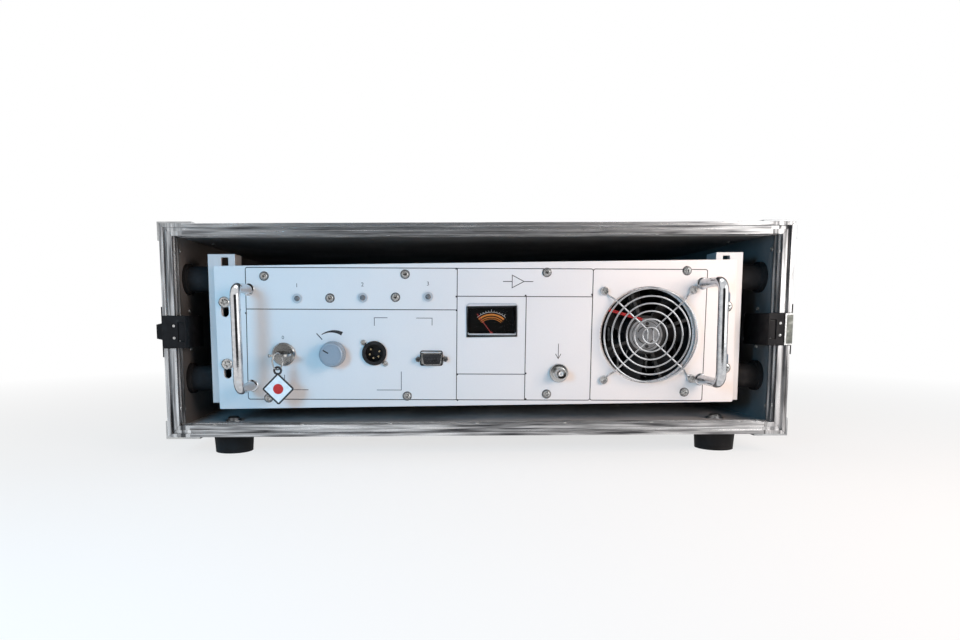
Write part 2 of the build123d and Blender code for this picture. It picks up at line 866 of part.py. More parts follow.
# Front panel with every cut-out
bow_places = [(side * bow_u, rise * bow_spacing / 2) for side in (-1, 1) for rise in (-1, 1)]
lamp_places = [(u, lamp_rise) for u in lamp_us]
lamp_screws = [(u, lamp_rise) for u in lamp_screw_us]
with BuildPart() as front_panel:
    with BuildSketch(panel_plane(0)) as plate:
        RectangleRounded(panel_width, panel_height, panel_corner)
        with GridLocations(2 * slot_u, 2 * slot_rise, 2, 2):
            SlotOverall(slot_length, slot_width, rotation=90, mode=Mode.SUBTRACT)
        with Locations(fan_centre):
            Circle(fan_window / 2, mode=Mode.SUBTRACT)
        with Locations((meter_u, meter_rise)):
            Rectangle(meter_width + 2 * hole_fit, meter_height + 2 * hole_fit, mode=Mode.SUBTRACT)
        with Locations((dsub_u, -dsub_drop)):
            Rectangle(dsub_width + 2 * hole_fit, dsub_height + 2 * hole_fit, mode=Mode.SUBTRACT)
        for places, size in (
            (fan_corners, fan_screw),
            (edge_screws + lamp_screws, screw_shank),
            (lamp_places, lamp_tube),
            (bow_places, bow_spigot),
            ([(key_u, -key_drop)], key_body),
            ([(knob_u, -knob_drop)], pot_bush),
            ([(xlr_u, -xlr_drop)], xlr_body),
            (xlr_screws + dsub_screws, socket_screw_shank),
            ([(bnc_u, -bnc_drop)], bnc_thread),
        ):
            with Locations(*places):
                Circle(size / 2 + hole_fit, mode=Mode.SUBTRACT)
    extrude(amount=-panel_thick)
finish(front_panel, "front_panel")

# Bow handles with spigots through the panel
with BuildPart() as bow_handles:
    for side in (-1, 1):
        corners = [
            panel_face.from_local_coords((side * bow_u, rise * bow_spacing / 2, out))
            for rise, out in ((-1, 0), (-1, bow_height), (1, bow_height), (1, 0))
        ]
        with BuildLine() as bow:
            FilletPolyline(*corners, radius=bow_bend)
        with BuildSketch(Plane(origin=bow.line @ 0, z_dir=bow.line % 0)) as section:
            Circle(bow_rod / 2)
        sweep(section.sketch, path=bow.line)
    discs(panel_plane(0), bow_places, bow_spigot, -panel_thick)
finish(bow_handles, "bow_handles")

# Small screws of the panel, the sockets and the lamp board
with BuildPart() as panel_screws:
    discs(panel_plane(0), edge_screws + lamp_screws, screw_shank, -screw_reach)
    discs(panel_plane(0), edge_screws + lamp_screws, screw_head, screw_head_thick)
    discs(panel_plane(0), xlr_screws + dsub_screws, socket_screw_shank, -socket_screw_reach)
    discs(panel_plane(0), xlr_screws, socket_screw_head, socket_screw_head_thick)
    discs(panel_plane(0), dsub_screws, jack_head, jack_head_thick)
finish(panel_screws, "panel_screws")

# Chassis tray with its front flange, cover and rear panel
window_half = chassis_half - flange_side
window_rise = chassis_rise - flange_edge
with BuildPart() as chassis_tray:
    with BuildSketch(panel_plane(panel_thick)) as flange:
        Rectangle(2 * chassis_half, 2 * chassis_rise)
        Rectangle(2 * window_half, 2 * window_rise, mode=Mode.SUBTRACT)
        with Locations(*edge_screws):
            Circle(screw_shank / 2 + hole_fit, mode=Mode.SUBTRACT)
    extrude(amount=-sheet)
    with BuildSketch(panel_plane(panel_thick)) as walls:
        Rectangle(2 * chassis_half, 2 * chassis_rise)
        with Locations((0, chassis_rise)):
            Rectangle(2 * (chassis_half - sheet), 4 * (chassis_rise - sheet / 2), mode=Mode.SUBTRACT)
        with Locations((0, chassis_rise)):
            Rectangle(2 * chassis_half, 2 * sheet, mode=Mode.SUBTRACT)
    extrude(amount=-chassis_depth)
finish(chassis_tray, "chassis_tray")

cover_start = panel_thick + sheet
with BuildPart() as chassis_cover:
    cover_length = chassis_back - cover_start
    blocks(panel_plane(cover_start), [(0, chassis_rise - sheet / 2)], 2 * chassis_half, sheet, -cover_length)
    lip_u = chassis_half - sheet - seat_gap - cover_lip_thick / 2
    lip_v = chassis_rise - sheet - cover_lip / 2
    lip_length = cover_length - rear_sheet - seat_gap
    lip_places = [(-lip_u, lip_v), (lip_u, lip_v)]
    blocks(panel_plane(cover_start), lip_places, cover_lip_thick, cover_lip, -lip_length)
finish(chassis_cover, "chassis_cover")

with BuildPart() as rear_panel:
    with BuildSketch(panel_plane(chassis_back - rear_sheet)) as plate:
        Rectangle(2 * (chassis_half - sheet), 2 * (chassis_rise - sheet))
        with Locations((inlet_offset, 0)):
            Rectangle(inlet_width + 2 * hole_fit, inlet_height + 2 * hole_fit, mode=Mode.SUBTRACT)
        with Locations((output_offset, 0)):
            Circle(output_body / 2 + hole_fit, mode=Mode.SUBTRACT)
        with GridLocations(vent_pitch, vent_height, vent_count, 1):
            SlotOverall(vent_height, vent_width, rotation=90, mode=Mode.SUBTRACT)
    extrude(amount=-rear_sheet)
finish(rear_panel, "rear_panel")

# Indicator lamps on their board
board_back = lamp_board_depth + lamp_board_thick
with BuildPart() as lamp_bezels:
    discs(panel_plane(0), lamp_places, lamp_bezel, lamp_bezel_thick)
    discs(panel_plane(0), lamp_places, lamp_tube, -panel_thick)
    discs(panel_plane(panel_thick), lamp_places, lamp_lens + 2 * run_fit,
          panel_thick + lamp_bezel_thick, Mode.SUBTRACT)
finish(lamp_bezels, "lamp_bezels")

with BuildPart() as lamp_lenses:
    lens_length = lamp_board_depth + lamp_bezel_thick + lamp_proud
    discs(panel_plane(lamp_board_depth), lamp_places, lamp_lens, lens_length)
    fillet(faces().sort_by(Axis.Y)[:lamp_count].edges(), lamp_lens * lamp_dome_share)
finish(lamp_lenses, "lamp_lenses")

with BuildPart() as lamp_board:
    strip_length = lamp_us[-1] - lamp_us[0] + 2 * lamp_board_end
    strip_middle = (lamp_us[-1] + lamp_us[0]) / 2
    blocks(panel_plane(lamp_board_depth), [(strip_middle, lamp_rise)], strip_length,
           lamp_board_height, -lamp_board_thick)
    discs(panel_plane(lamp_board_depth), lamp_screws, spacer, lamp_board_depth - panel_thick)
    discs(panel_plane(board_back), lamp_screws, screw_shank + 2 * hole_fit,
          board_back - panel_thick, Mode.SUBTRACT)
finish(lamp_board, "lamp_board")

# Key switch: fixed barrel, turning plug and the key in it
key_place = [(key_u, -key_drop)]
with BuildPart() as key_barrel:
    discs(panel_plane(0), key_place, key_bezel, key_bezel_thick)
    chamfer(faces().sort_by(Axis.Y)[0].edges(), key_bezel_chamfer)
    discs(panel_plane(0), key_place, key_body, -key_body_depth)
    discs(panel_plane(plug_depth + seat_gap), key_place, plug_size + 2 * run_fit,
          plug_depth + seat_gap + key_bezel_thick, Mode.SUBTRACT)
finish(key_barrel, "key_barrel")

plug_front = key_bezel_thick + plug_proud
with BuildPart() as key_plug:
    discs(panel_plane(plug_depth), key_place, plug_size, plug_depth + plug_front)
    blocks(panel_plane(keyway_depth - plug_front), key_place, keyway_width, keyway_thick,
           keyway_depth, Mode.SUBTRACT)
finish(key_plug, "key_plug")

# The key lies level in its slot, with the ring hole between the bow and its front strip
key_origin = panel_face.from_local_coords((key_u, -key_drop, plug_front))
key_flat = Plane(origin=key_origin, x_dir=roll_dir, z_dir=panel_face.y_dir)
bow_start = key_neck_length
bow_end = key_neck_length + key_bow_length
strip_middle = bow_end - key_strip / 2
hole_middle = bow_end - key_strip - key_hole / 2
with BuildPart() as key:
    with BuildSketch(key_flat) as outline:
        with Locations((0, -(bow_start + bow_end) / 2)):
            RectangleRounded(key_bow_width, key_bow_length, key_bow_corner)
        with Locations((0, -key_neck_length)):
            Rectangle(key_neck, 2 * key_neck_length)
        with Locations((0, key_blade_length / 2)):
            Rectangle(key_blade, key_blade_length)
        with Locations((0, -hole_middle)):
            Circle(key_hole / 2, mode=Mode.SUBTRACT)
    extrude(amount=key_thick / 2, both=True)
finish(key, "key")

ring_drop = ring_size / 2 - ring_wire - ring_play - key_thick / 2
ring_centre = key_flat.from_local_coords((0, -strip_middle, -ring_drop))
ring_dir = (sin(radians(ring_turn)), cos(radians(ring_turn)), 0)
ring_plane = Plane(origin=ring_centre, x_dir=ring_dir, z_dir=(ring_dir[1], -ring_dir[0], 0))
with BuildPart(ring_plane) as key_ring:
    Torus((ring_size - ring_wire) / 2, ring_wire / 2)
finish(key_ring, "key_ring")

eyelet_drop = (ring_size - ring_wire) / 2 + tag_eyelet_hole / 2 - ring_wire / 2 - ring_play
tag_top = ring_centre - Vector(0, 0, eyelet_drop)
tag_plane = Plane(origin=tag_top, x_dir=(1, 0, 0), z_dir=(0, -1, 0))
tag_half = tag_side / 2 ** (1 / 2)
tag_reach = tag_half + tag_eyelet_hole / 2
with BuildPart() as key_tag:
    with BuildSketch(tag_plane) as outline:
        with Locations((0, -tag_reach)):
            RectangleRounded(tag_side, tag_side, tag_corner, rotation=45)
        Circle(tag_eyelet / 2)
        Circle(tag_eyelet_hole / 2, mode=Mode.SUBTRACT)
    extrude(amount=tag_thick / 2, both=True)
finish(key_tag, "key_tag")

# Level control: knob on a shaft that turns in the fixed control body
knob_place = [(knob_u, -knob_drop)]
knob_foot = panel_plane(-knob_lift)
knob_centre = panel_face.from_local_coords((knob_u, -knob_drop, knob_lift))
with BuildPart(Plane(origin=knob_centre, x_dir=roll_dir, z_dir=(0, -1, 0))) as level_knob:
    Cone(knob_base / 2, knob_top / 2, knob_height, align=(Align.CENTER, Align.CENTER, Align.MIN))
    fillet(faces().sort_by(Axis.Y)[0].edges(), knob_edge)
    discs(knob_foot, knob_place, knob_recess, knob_recess_depth, Mode.SUBTRACT)
    discs(knob_foot, knob_place, pot_shaft_size + 2 * run_fit, knob_bore_depth, Mode.SUBTRACT)
    mark_length = knob_top * knob_mark_share
    mark_middle = knob_top / 2 - mark_length / 2
    with BuildSketch(panel_plane(-knob_lift - knob_height)) as mark:
        with Locations(
            (
                knob_u + mark_middle * cos(radians(knob_mark_angle)),
                mark_middle * sin(radians(knob_mark_angle)) - knob_drop,
            )
        ):
            Rectangle(mark_length, knob_mark_width, rotation=knob_mark_angle)
    extrude(mark.sketch, amount=-knob_mark_depth, mode=Mode.SUBTRACT)
finish(level_knob, "level_knob")

with BuildPart() as pot_body:
    discs(panel_plane(panel_thick), knob_place, pot_case, -pot_case_depth)
    discs(panel_plane(panel_thick), knob_place, pot_bush, panel_thick + pot_bush_proud)
    discs(panel_plane(0), knob_place, pot_nut, pot_nut_thick)
    shaft_hole = pot_shaft_in + seat_gap
    discs(panel_plane(shaft_hole), knob_place, pot_shaft_size + 2 * run_fit,
          shaft_hole + pot_bush_proud, Mode.SUBTRACT)
finish(pot_body, "pot_body")

with BuildPart() as pot_shaft:
    discs(panel_plane(pot_shaft_in), knob_place, pot_shaft_size, pot_shaft_in + pot_shaft_out)
finish(pot_shaft, "pot_shaft")

# Five pole socket and its pins
xlr_place = [(xlr_u, -xlr_drop)]
with BuildPart() as xlr_shell:
    discs(panel_plane(0), xlr_place, xlr_collar, xlr_collar_thick)
    discs(panel_plane(0), xlr_place, xlr_body, -xlr_body_depth)
    blocks(panel_plane(panel_thick), xlr_place, xlr_flange, xlr_flange, -xlr_flange_thick)
    discs(panel_plane(xlr_bore_depth), xlr_place, xlr_bore, xlr_bore_depth + xlr_collar_thick, Mode.SUBTRACT)
    discs(panel_plane(panel_thick), xlr_screws, socket_screw_shank + 2 * hole_fit,
          -xlr_flange_thick, Mode.SUBTRACT)
finish(xlr_shell, "xlr_shell")

xlr_pin_places = [
    (
        xlr_u + xlr_pin_circle / 2 * cos(radians(xlr_pin_start - k * xlr_pin_step)),
        xlr_pin_circle / 2 * sin(radians(xlr_pin_start - k * xlr_pin_step)) - xlr_drop,
    )
    for k in range(xlr_pin_count)
]
with BuildPart() as xlr_pins:
    discs(panel_plane(xlr_bore_depth), xlr_pin_places, xlr_pin, xlr_pin_length)
finish(xlr_pins, "xlr_pins")


def dsub_outline(plane, inset):
    """Five-sided outline of the data socket, drawn in from its shell by an inset."""
    with BuildSketch(plane) as outline:
        with Locations((dsub_u, -dsub_drop)):
            Trapezoid(dsub_width - 2 * inset, dsub_height - 2 * inset, dsub_slant, rotation=180)
        fillet(outline.vertices(), dsub_corner - inset)
    return outline.sketch


# Nine pole data socket: metal shell and moulded insert
with BuildPart() as dsub_shell:
    shell_length = dsub_back + dsub_proud
    extrude(dsub_outline(panel_plane(dsub_back), 0), amount=shell_length)
    blocks(panel_plane(panel_thick), [(dsub_u, -dsub_drop)], dsub_flange_width, dsub_flange_height,
           -dsub_flange_thick)
    extrude(dsub_outline(panel_plane(dsub_back), dsub_wall), amount=shell_length, mode=Mode.SUBTRACT)
    discs(panel_plane(panel_thick), dsub_screws, socket_screw_shank + 2 * hole_fit,
          -dsub_flange_thick, Mode.SUBTRACT)
finish(dsub_shell, "dsub_shell")

dsub_holes = [
    (dsub_u + (k - (count - 1) / 2) * dsub_pin_pitch, row * dsub_row_pitch / 2 - dsub_drop)
    for row, count in ((1, 5), (-1, 4))
    for k in range(count)
]
with BuildPart() as dsub_insert:
    insert_out = dsub_proud - dsub_insert_recess
    extrude(dsub_outline(panel_plane(dsub_back), dsub_wall), amount=dsub_back + insert_out)
    discs(panel_plane(-insert_out), dsub_holes, dsub_pin_hole, -dsub_hole_depth, Mode.SUBTRACT)
finish(dsub_insert, "dsub_insert")

# Level meter: case, dial, window and needle
meter_place = [(meter_u, meter_rise)]
needle_place = [(meter_u, meter_rise - needle_pivot_drop)]
meter_inner_width = meter_width - 2 * meter_frame
meter_inner_height = meter_height - 2 * meter_frame
meter_floor = meter_cavity_depth - meter_proud
with BuildPart() as meter_case:
    blocks(panel_plane(-meter_proud), meter_place, meter_width, meter_height, -meter_depth)
    blocks(panel_plane(panel_thick), meter_place, meter_width + 2 * meter_flange,
           meter_height + 2 * meter_flange, -meter_flange_thick)
    blocks(panel_plane(-meter_proud), meter_place, meter_inner_width, meter_inner_height,
           -meter_cavity_depth, Mode.SUBTRACT)
    blocks(panel_plane(-meter_proud), meter_place, meter_inner_width + 2 * meter_rebate,
           meter_inner_height + 2 * meter_rebate, -meter_window_thick, Mode.SUBTRACT)
    discs(panel_plane(meter_floor), needle_place, needle_staff + 2 * run_fit,
          -needle_staff_in - seat_gap, Mode.SUBTRACT)
finish(meter_case, "meter_case")

with BuildPart() as meter_dial:
    blocks(panel_plane(meter_floor), meter_place, meter_inner_width, meter_inner_height, meter_dial_thick)
    discs(panel_plane(meter_floor), needle_place, needle_staff + 2 * hole_fit,
          meter_dial_thick, Mode.SUBTRACT)
finish(meter_dial, "meter_dial")

with BuildPart() as meter_window:
    blocks(panel_plane(-meter_proud), meter_place, meter_inner_width + 2 * meter_rebate,
           meter_inner_height + 2 * meter_rebate, -meter_window_thick)
finish(meter_window, "meter_window")

needle_back = meter_floor - needle_lift
with BuildPart() as meter_needle:
    staff_back = meter_floor + needle_staff_in
    discs(panel_plane(staff_back), needle_place, needle_staff, needle_staff_in + needle_lift)
    discs(panel_plane(needle_back), needle_place, needle_hub, needle_thick)
    with BuildSketch(panel_plane(needle_back)) as pointer:
        with Locations(
            (
                meter_u + needle_length / 2 * cos(radians(needle_rest)),
                meter_rise - needle_pivot_drop + needle_length / 2 * sin(radians(needle_rest)),
            )
        ):
            Rectangle(needle_length, needle_width, rotation=needle_rest)
    extrude(pointer.sketch, amount=needle_thick)
finish(meter_needle, "meter_needle")

# Signal socket with its bayonet barrel and inner contact
bnc_place = [(bnc_u, -bnc_drop)]
with BuildPart() as bnc_socket:
    with BuildSketch(panel_plane(0)) as nut:
        with Locations(*bnc_place):
            RegularPolygon(bnc_nut / 2, 6)
    extrude(nut.sketch, amount=bnc_nut_thick)
    discs(panel_plane(0), bnc_place, bnc_barrel, bnc_proud)
    discs(panel_plane(0), bnc_place, bnc_thread, -bnc_thread_depth)
    lug_plane = Plane(
        origin=panel_face.from_local_coords((bnc_u, -bnc_drop, bnc_proud - bnc_lug_back)),
        x_dir=(0, 1, 0),
        z_dir=panel_face.y_dir,
    )
    discs(lug_plane.offset(-bnc_lug_reach / 2), [(0, 0)], bnc_lug, bnc_lug_reach)
    discs(panel_plane(-bnc_proud), bnc_place, bnc_bore, -bnc_bore_depth, Mode.SUBTRACT)
finish(bnc_socket, "bnc_socket")

with BuildPart() as bnc_core:
    core_base = bnc_proud - bnc_bore_depth
    discs(panel_plane(-core_base), bnc_place, bnc_insulator, bnc_insulator_length)
    discs(panel_plane(-core_base - bnc_insulator_length), bnc_place, bnc_pin_bore,
          -bnc_insulator_length / 2, Mode.SUBTRACT)
finish(bnc_core, "bnc_core")

# Cooling fan: frame with struts and bearing hub, turning rotor, wire guard and screws
fan_face = panel_plane(panel_thick)
with BuildPart() as fan_frame:
    with BuildSketch(fan_face) as square:
        with Locations(fan_centre):
            RectangleRounded(fan_size, fan_size, fan_corner)
            Circle(fan_bore / 2, mode=Mode.SUBTRACT)
        with Locations(*fan_corners):
            Circle(fan_screw / 2 + hole_fit, mode=Mode.SUBTRACT)
    extrude(amount=-fan_thick)
    strut_reach = (fan_bore + strut_width) / 2
    strut_face = fan_face.offset(-strut_set)
    with BuildSketch(strut_face) as spider:
        for k in range(strut_count):
            turn = strut_turn + k * 360 / strut_count
            with Locations(
                (
                    fan_u + strut_reach / 2 * cos(radians(turn)),
                    strut_reach / 2 * sin(radians(turn)) - fan_drop,
                )
            ):
                Rectangle(strut_reach, strut_width, rotation=turn)
    extrude(spider.sketch, amount=-strut_thick)
    discs(strut_face, [fan_centre], stator_hub, -stator_thick)
    discs(strut_face.offset(-stator_thick), [fan_centre], rotor_shaft + 2 * run_fit,
          rotor_shaft_in + seat_gap, Mode.SUBTRACT)
finish(fan_frame, "fan_frame")

rotor_front = panel_thick + strut_set + stator_thick + rotor_gap
rotor_middle = -rotor_front - rotor_depth / 2
blade_root = rotor_hub / 2 - blade_sink
blade_tip = fan_bore / 2 - blade_tip_gap
with BuildPart() as fan_rotor:
    discs(panel_plane(rotor_front), [fan_centre], rotor_hub, -rotor_depth)
    discs(panel_plane(rotor_front), [fan_centre], rotor_shaft, rotor_gap + rotor_shaft_in)
    for k in range(blade_count):
        turn = radians(k * 360 / blade_count)
        out_dir = Vector(cos(turn), 0, sin(turn))
        round_dir = Vector(-sin(turn), 0, cos(turn))
        hub_centre = panel_face.from_local_coords((fan_u, -fan_drop, rotor_middle))
        stations = []
        for radius, pitch in ((blade_root, blade_root_pitch), (blade_tip, blade_tip_pitch)):
            station = Plane(origin=hub_centre + out_dir * radius, x_dir=round_dir, z_dir=out_dir)
            with BuildSketch(station) as section:
                Rectangle(blade_chord, blade_thick, rotation=pitch)
            stations.append(section.sketch)
        loft(stations)
finish(fan_rotor, "fan_rotor")

guard_face = guard_lift + guard_rise
ring_lift = guard_face + guard_wire * guard_weld_share
eye_radius = (guard_eye - guard_wire) / 2
eye_reach = fan_hole_spacing / 2 - eye_radius * sin(radians(45))
arm_start = Vector(eye_reach, eye_reach)
arm_run = Vector(guard_bow_gap / 2, guard_bow_length / 2) - arm_start
arm_steps = ((0, guard_lift), (guard_foot_share, guard_lift), (guard_knee_share, guard_face), (1, guard_face))
arm = [(arm_start + arm_run * share, lift) for share, lift in arm_steps]
with BuildPart() as fan_guard:
    for side in (-1, 1):
        upper = [(side * spot.X, spot.Y, lift) for spot, lift in arm]
        lower = [(side * spot.X, -spot.Y, lift) for spot, lift in reversed(arm)]
        corners = [
            panel_face.from_local_coords((fan_u + u, v - fan_drop, lift))
            for u, v, lift in upper + lower
        ]
        with BuildLine() as wire:
            FilletPolyline(*corners, radius=guard_bow_bend)
        with BuildSketch(Plane(origin=wire.line @ 0, z_dir=wire.line % 0)) as section:
            Circle(guard_wire / 2)
        sweep(section.sketch, path=wire.line)
    for u, v in fan_corners:
        with Locations(Plane(origin=panel_face.from_local_coords((u, v, guard_lift)), z_dir=(0, -1, 0))):
            Torus(eye_radius, guard_wire / 2)
    ring_origin = panel_face.from_local_coords((fan_u, -fan_drop, ring_lift))
    for radius in guard_ring_radii:
        with Locations(Plane(origin=ring_origin, z_dir=(0, -1, 0))):
            Torus(radius, guard_wire / 2)
finish(fan_guard, "fan_guard")

fan_head_lift = guard_lift + guard_wire / 2
with BuildPart() as fan_screws:
    discs(panel_plane(-fan_head_lift), fan_corners, fan_screw, -fan_head_lift - panel_thick - fan_screw_tail)
    discs(panel_plane(-fan_head_lift), fan_corners, fan_screw_head, fan_screw_head_thick)
    head_faces = faces().sort_by(Axis.Y)[:len(fan_corners)]
    chamfer(head_faces.edges(), fan_screw_head_thick * head_edge_share)
finish(fan_screws, "fan_screws")

# Heat sink, amplifier board and power supply on the chassis floor
floor_v = sheet - chassis_rise
with BuildPart() as heat_sink:
    sink_plane = panel_plane(sink_start)
    blocks(sink_plane, [(fan_u, floor_v + sink_base / 2)], sink_width, sink_base, -sink_length)
    fin_step = (sink_width - sink_fin_thick) / (sink_fin_count - 1)
    fin_places = [
        (fan_u - (sink_width - sink_fin_thick) / 2 + k * fin_step, floor_v + sink_base + sink_fin_height / 2)
        for k in range(sink_fin_count)
    ]
    blocks(sink_plane, fin_places, sink_fin_thick, sink_fin_height, -sink_length)
finish(heat_sink, "heat_sink")

with BuildPart() as rf_board:
    board_v = floor_v + rf_leg_height + rf_thick / 2
    blocks(panel_plane(rf_start), [(rf_offset, board_v)], rf_width, rf_thick, -rf_length)
    leg_us = [rf_offset + side * (rf_width / 2 - rf_leg_inset) for side in (-1, 1)]
    leg_places = [(u, floor_v + rf_leg_height / 2) for u in leg_us]
    for start in (rf_start + rf_leg_inset, rf_start + rf_length - rf_leg_inset - rf_leg):
        blocks(panel_plane(start), leg_places, rf_leg, rf_leg_height, -rf_leg)
    can_v = floor_v + rf_leg_height + rf_thick + rf_can_height / 2
    for k in range(rf_can_count):
        can_start = rf_start + rf_leg_inset + k * rf_can_pitch
        blocks(panel_plane(can_start), [(rf_offset, can_v)], rf_can_width, rf_can_height, -rf_can_length)
finish(rf_board, "rf_board")

with BuildPart() as power_supply:
    supply_v = floor_v + supply_height / 2
    supply_place = [(supply_offset, supply_v)]
    blocks(panel_plane(supply_start), supply_place, supply_width, supply_height, -supply_length)
    chamfer(edges().filter_by(Axis.Y).group_by(Axis.Z)[-1], supply_edge)
    for k in range(supply_slot_count):
        slot_start = supply_start + supply_length / 2 + (k - (supply_slot_count - 1) / 2) * supply_slot_pitch
        blocks(panel_plane(slot_start), [(supply_offset, floor_v + supply_height)], supply_slot_length,
               2 * supply_slot_depth, -supply_slot_width, Mode.SUBTRACT)
finish(power_supply, "power_supply")

# Mains inlet and amplifier output on the rear panel
inlet_place = [(inlet_offset, 0)]
with BuildPart() as mains_inlet:
    with BuildSketch(panel_plane(chassis_back)) as rim:
        with Locations(*inlet_place):
            RectangleRounded(inlet_width + 2 * inlet_flange, inlet_height + 2 * inlet_flange, inlet_corner)
    extrude(rim.sketch, amount=-inlet_flange_thick)
    blocks(panel_plane(chassis_back), inlet_place, inlet_width, inlet_height, inlet_depth)
    recess_back = chassis_back + inlet_flange_thick
    blocks(panel_plane(recess_back), inlet_place, inlet_width - 2 * inlet_wall,
           inlet_height - 2 * inlet_wall, inlet_recess_depth, Mode.SUBTRACT)
    blade_places = [(inlet_offset + k * inlet_blade_pitch, 0) for k in (-1, 0, 1)]
    blocks(panel_plane(recess_back - inlet_recess_depth), blade_places, inlet_blade_width,
           inlet_blade_height, -inlet_blade_length)
finish(mains_inlet, "mains_inlet")

output_place = [(output_offset, 0)]
with BuildPart() as output_socket:
    blocks(panel_plane(chassis_back), output_place, output_flange, output_flange, -output_flange_thick)
    discs(panel_plane(chassis_back), output_place, output_body, -output_proud)
    discs(panel_plane(chassis_back), output_place, output_body, rear_sheet + output_inside)
    output_mouth = chassis_back + output_proud
    discs(panel_plane(output_mouth), output_place, output_bore, output_bore_depth, Mode.SUBTRACT)
    discs(panel_plane(output_mouth - output_bore_depth), output_place, output_pin, -output_pin_length)
finish(output_socket, "output_socket")
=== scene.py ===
from math import cos, pi, radians, sin

import bpy
from mathutils import Matrix, Vector


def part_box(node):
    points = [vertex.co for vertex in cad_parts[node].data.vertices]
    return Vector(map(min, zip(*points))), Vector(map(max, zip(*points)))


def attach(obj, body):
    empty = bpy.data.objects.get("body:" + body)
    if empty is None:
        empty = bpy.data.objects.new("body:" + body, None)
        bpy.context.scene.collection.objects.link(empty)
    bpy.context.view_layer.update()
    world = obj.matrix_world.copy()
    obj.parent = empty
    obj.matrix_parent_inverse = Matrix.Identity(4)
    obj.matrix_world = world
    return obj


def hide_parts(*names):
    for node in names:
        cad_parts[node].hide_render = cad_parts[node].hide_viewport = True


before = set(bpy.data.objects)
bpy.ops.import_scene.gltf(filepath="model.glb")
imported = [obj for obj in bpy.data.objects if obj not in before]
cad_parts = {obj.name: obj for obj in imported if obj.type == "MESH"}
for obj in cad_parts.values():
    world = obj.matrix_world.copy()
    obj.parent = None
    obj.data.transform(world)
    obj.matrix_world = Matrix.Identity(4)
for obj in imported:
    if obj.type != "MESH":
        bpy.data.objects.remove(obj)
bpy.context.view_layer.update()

# Case boards: birch plywood, 7 mm thick, with a charcoal film pressed on both faces and pebbled.
# Use has rubbed the film paler in patches. The underside of the top board is painted paler still, as
# painted light where little light reaches it; the floor board is painted pale grey, partly dust and partly
# painted light where it lies in shade. The boards are let into the edging and riveted.
film_dark, film_middle, film_pale = (0.106, 0.104, 0.103), (0.160, 0.159, 0.159), (0.222, 0.221, 0.222)
film_painted_light_pale = (0.36, 0.36, 0.36)
floor_dust_and_light_dark, floor_dust_and_light_pale = (0.34, 0.34, 0.34), (0.56, 0.56, 0.56)
film_rub_pitch, floor_dust_and_light_pitch = 9.0, 14.0
film_pebble_pitch, film_pebble_depth, film_pebble_strength = 900.0, 0.00012, 0.5
underside_painted_light, top_middle = 0.35, 0.206
patch_low, patch_high = 0.32, 0.68


def new_finish(name, metallic, roughness, gleam=0.5):
    """A fresh material for one finish; gleam is how strongly its skin mirrors."""
    finish = bpy.data.materials.new(name)
    finish.use_nodes = True
    sockets = finish.node_tree.nodes["Principled BSDF"].inputs
    sockets["Metallic"].default_value = metallic
    sockets["Roughness"].default_value = roughness
    sockets["Specular IOR Level"].default_value = gleam
    return finish


def patches(finish, pitch, drawn=(1, 1, 1), detail=5.0):
    """Uneven patches, pitch of them to the metre, drawn out along an axis whose factor is small."""
    tree = finish.node_tree
    spot = tree.nodes.new("ShaderNodeTexCoord")
    pull = tree.nodes.new("ShaderNodeMapping")
    pull.inputs["Scale"].default_value = drawn
    noise = tree.nodes.new("ShaderNodeTexNoise")
    noise.inputs["Scale"].default_value = pitch
    noise.inputs["Detail"].default_value = detail
    tree.links.new(spot.outputs["Object"], pull.inputs["Vector"])
    tree.links.new(pull.outputs["Vector"], noise.inputs["Vector"])
    return noise.outputs["Fac"]


def tint(finish, source, *stops):
    """Base colour by the height of the patches; each stop is (height, colour)."""
    tree = finish.node_tree
    ramp = tree.nodes.new("ShaderNodeValToRGB")
    points = ramp.color_ramp.elements
    points[0].position, points[1].position = stops[0][0], stops[-1][0]
    for height, _ in stops[1:-1]:
        points.new(height)
    for point, (_, colour) in zip(points, stops):
        point.color = (*colour, 1.0)
    tree.links.new(source, ramp.inputs["Fac"])
    tree.links.new(ramp.outputs["Color"], tree.nodes["Principled BSDF"].inputs["Base Color"])


def roughen(finish, source, smooth, dull):
    """Gloss that runs from smooth to dull with the patches."""
    tree = finish.node_tree
    spread = tree.nodes.new("ShaderNodeMapRange")
    spread.inputs["From Min"].default_value = patch_low
    spread.inputs["From Max"].default_value = patch_high
    spread.inputs["To Min"].default_value = smooth
    spread.inputs["To Max"].default_value = dull
    tree.links.new(source, spread.inputs["Value"])
    tree.links.new(spread.outputs["Result"], tree.nodes["Principled BSDF"].inputs["Roughness"])


def emboss(finish, source, depth, strength, edge=0.0):
    """Relief of a depth in metres; edge is the radius to which use has rounded the corners."""
    tree = finish.node_tree
    relief = tree.nodes.new("ShaderNodeBump")
    relief.inputs["Distance"].default_value = depth
    relief.inputs["Strength"].default_value = strength
    tree.links.new(source, relief.inputs["Height"])
    if edge:
        corner = tree.nodes.new("ShaderNodeBevel")
        corner.samples = 4
        corner.inputs["Radius"].default_value = edge
        tree.links.new(corner.outputs["Normal"], relief.inputs["Normal"])
    tree.links.new(relief.outputs["Normal"], tree.nodes["Principled BSDF"].inputs["Normal"])


def press_pebble(finish):
    """The close round bumps that are pressed into the film."""
    tree = finish.node_tree
    spot = tree.nodes.new("ShaderNodeTexCoord")
    cells = tree.nodes.new("ShaderNodeTexVoronoi")
    cells.inputs["Scale"].default_value = film_pebble_pitch
    tree.links.new(spot.outputs["Object"], cells.inputs["Vector"])
    emboss(finish, cells.outputs["Distance"], film_pebble_depth, film_pebble_strength)


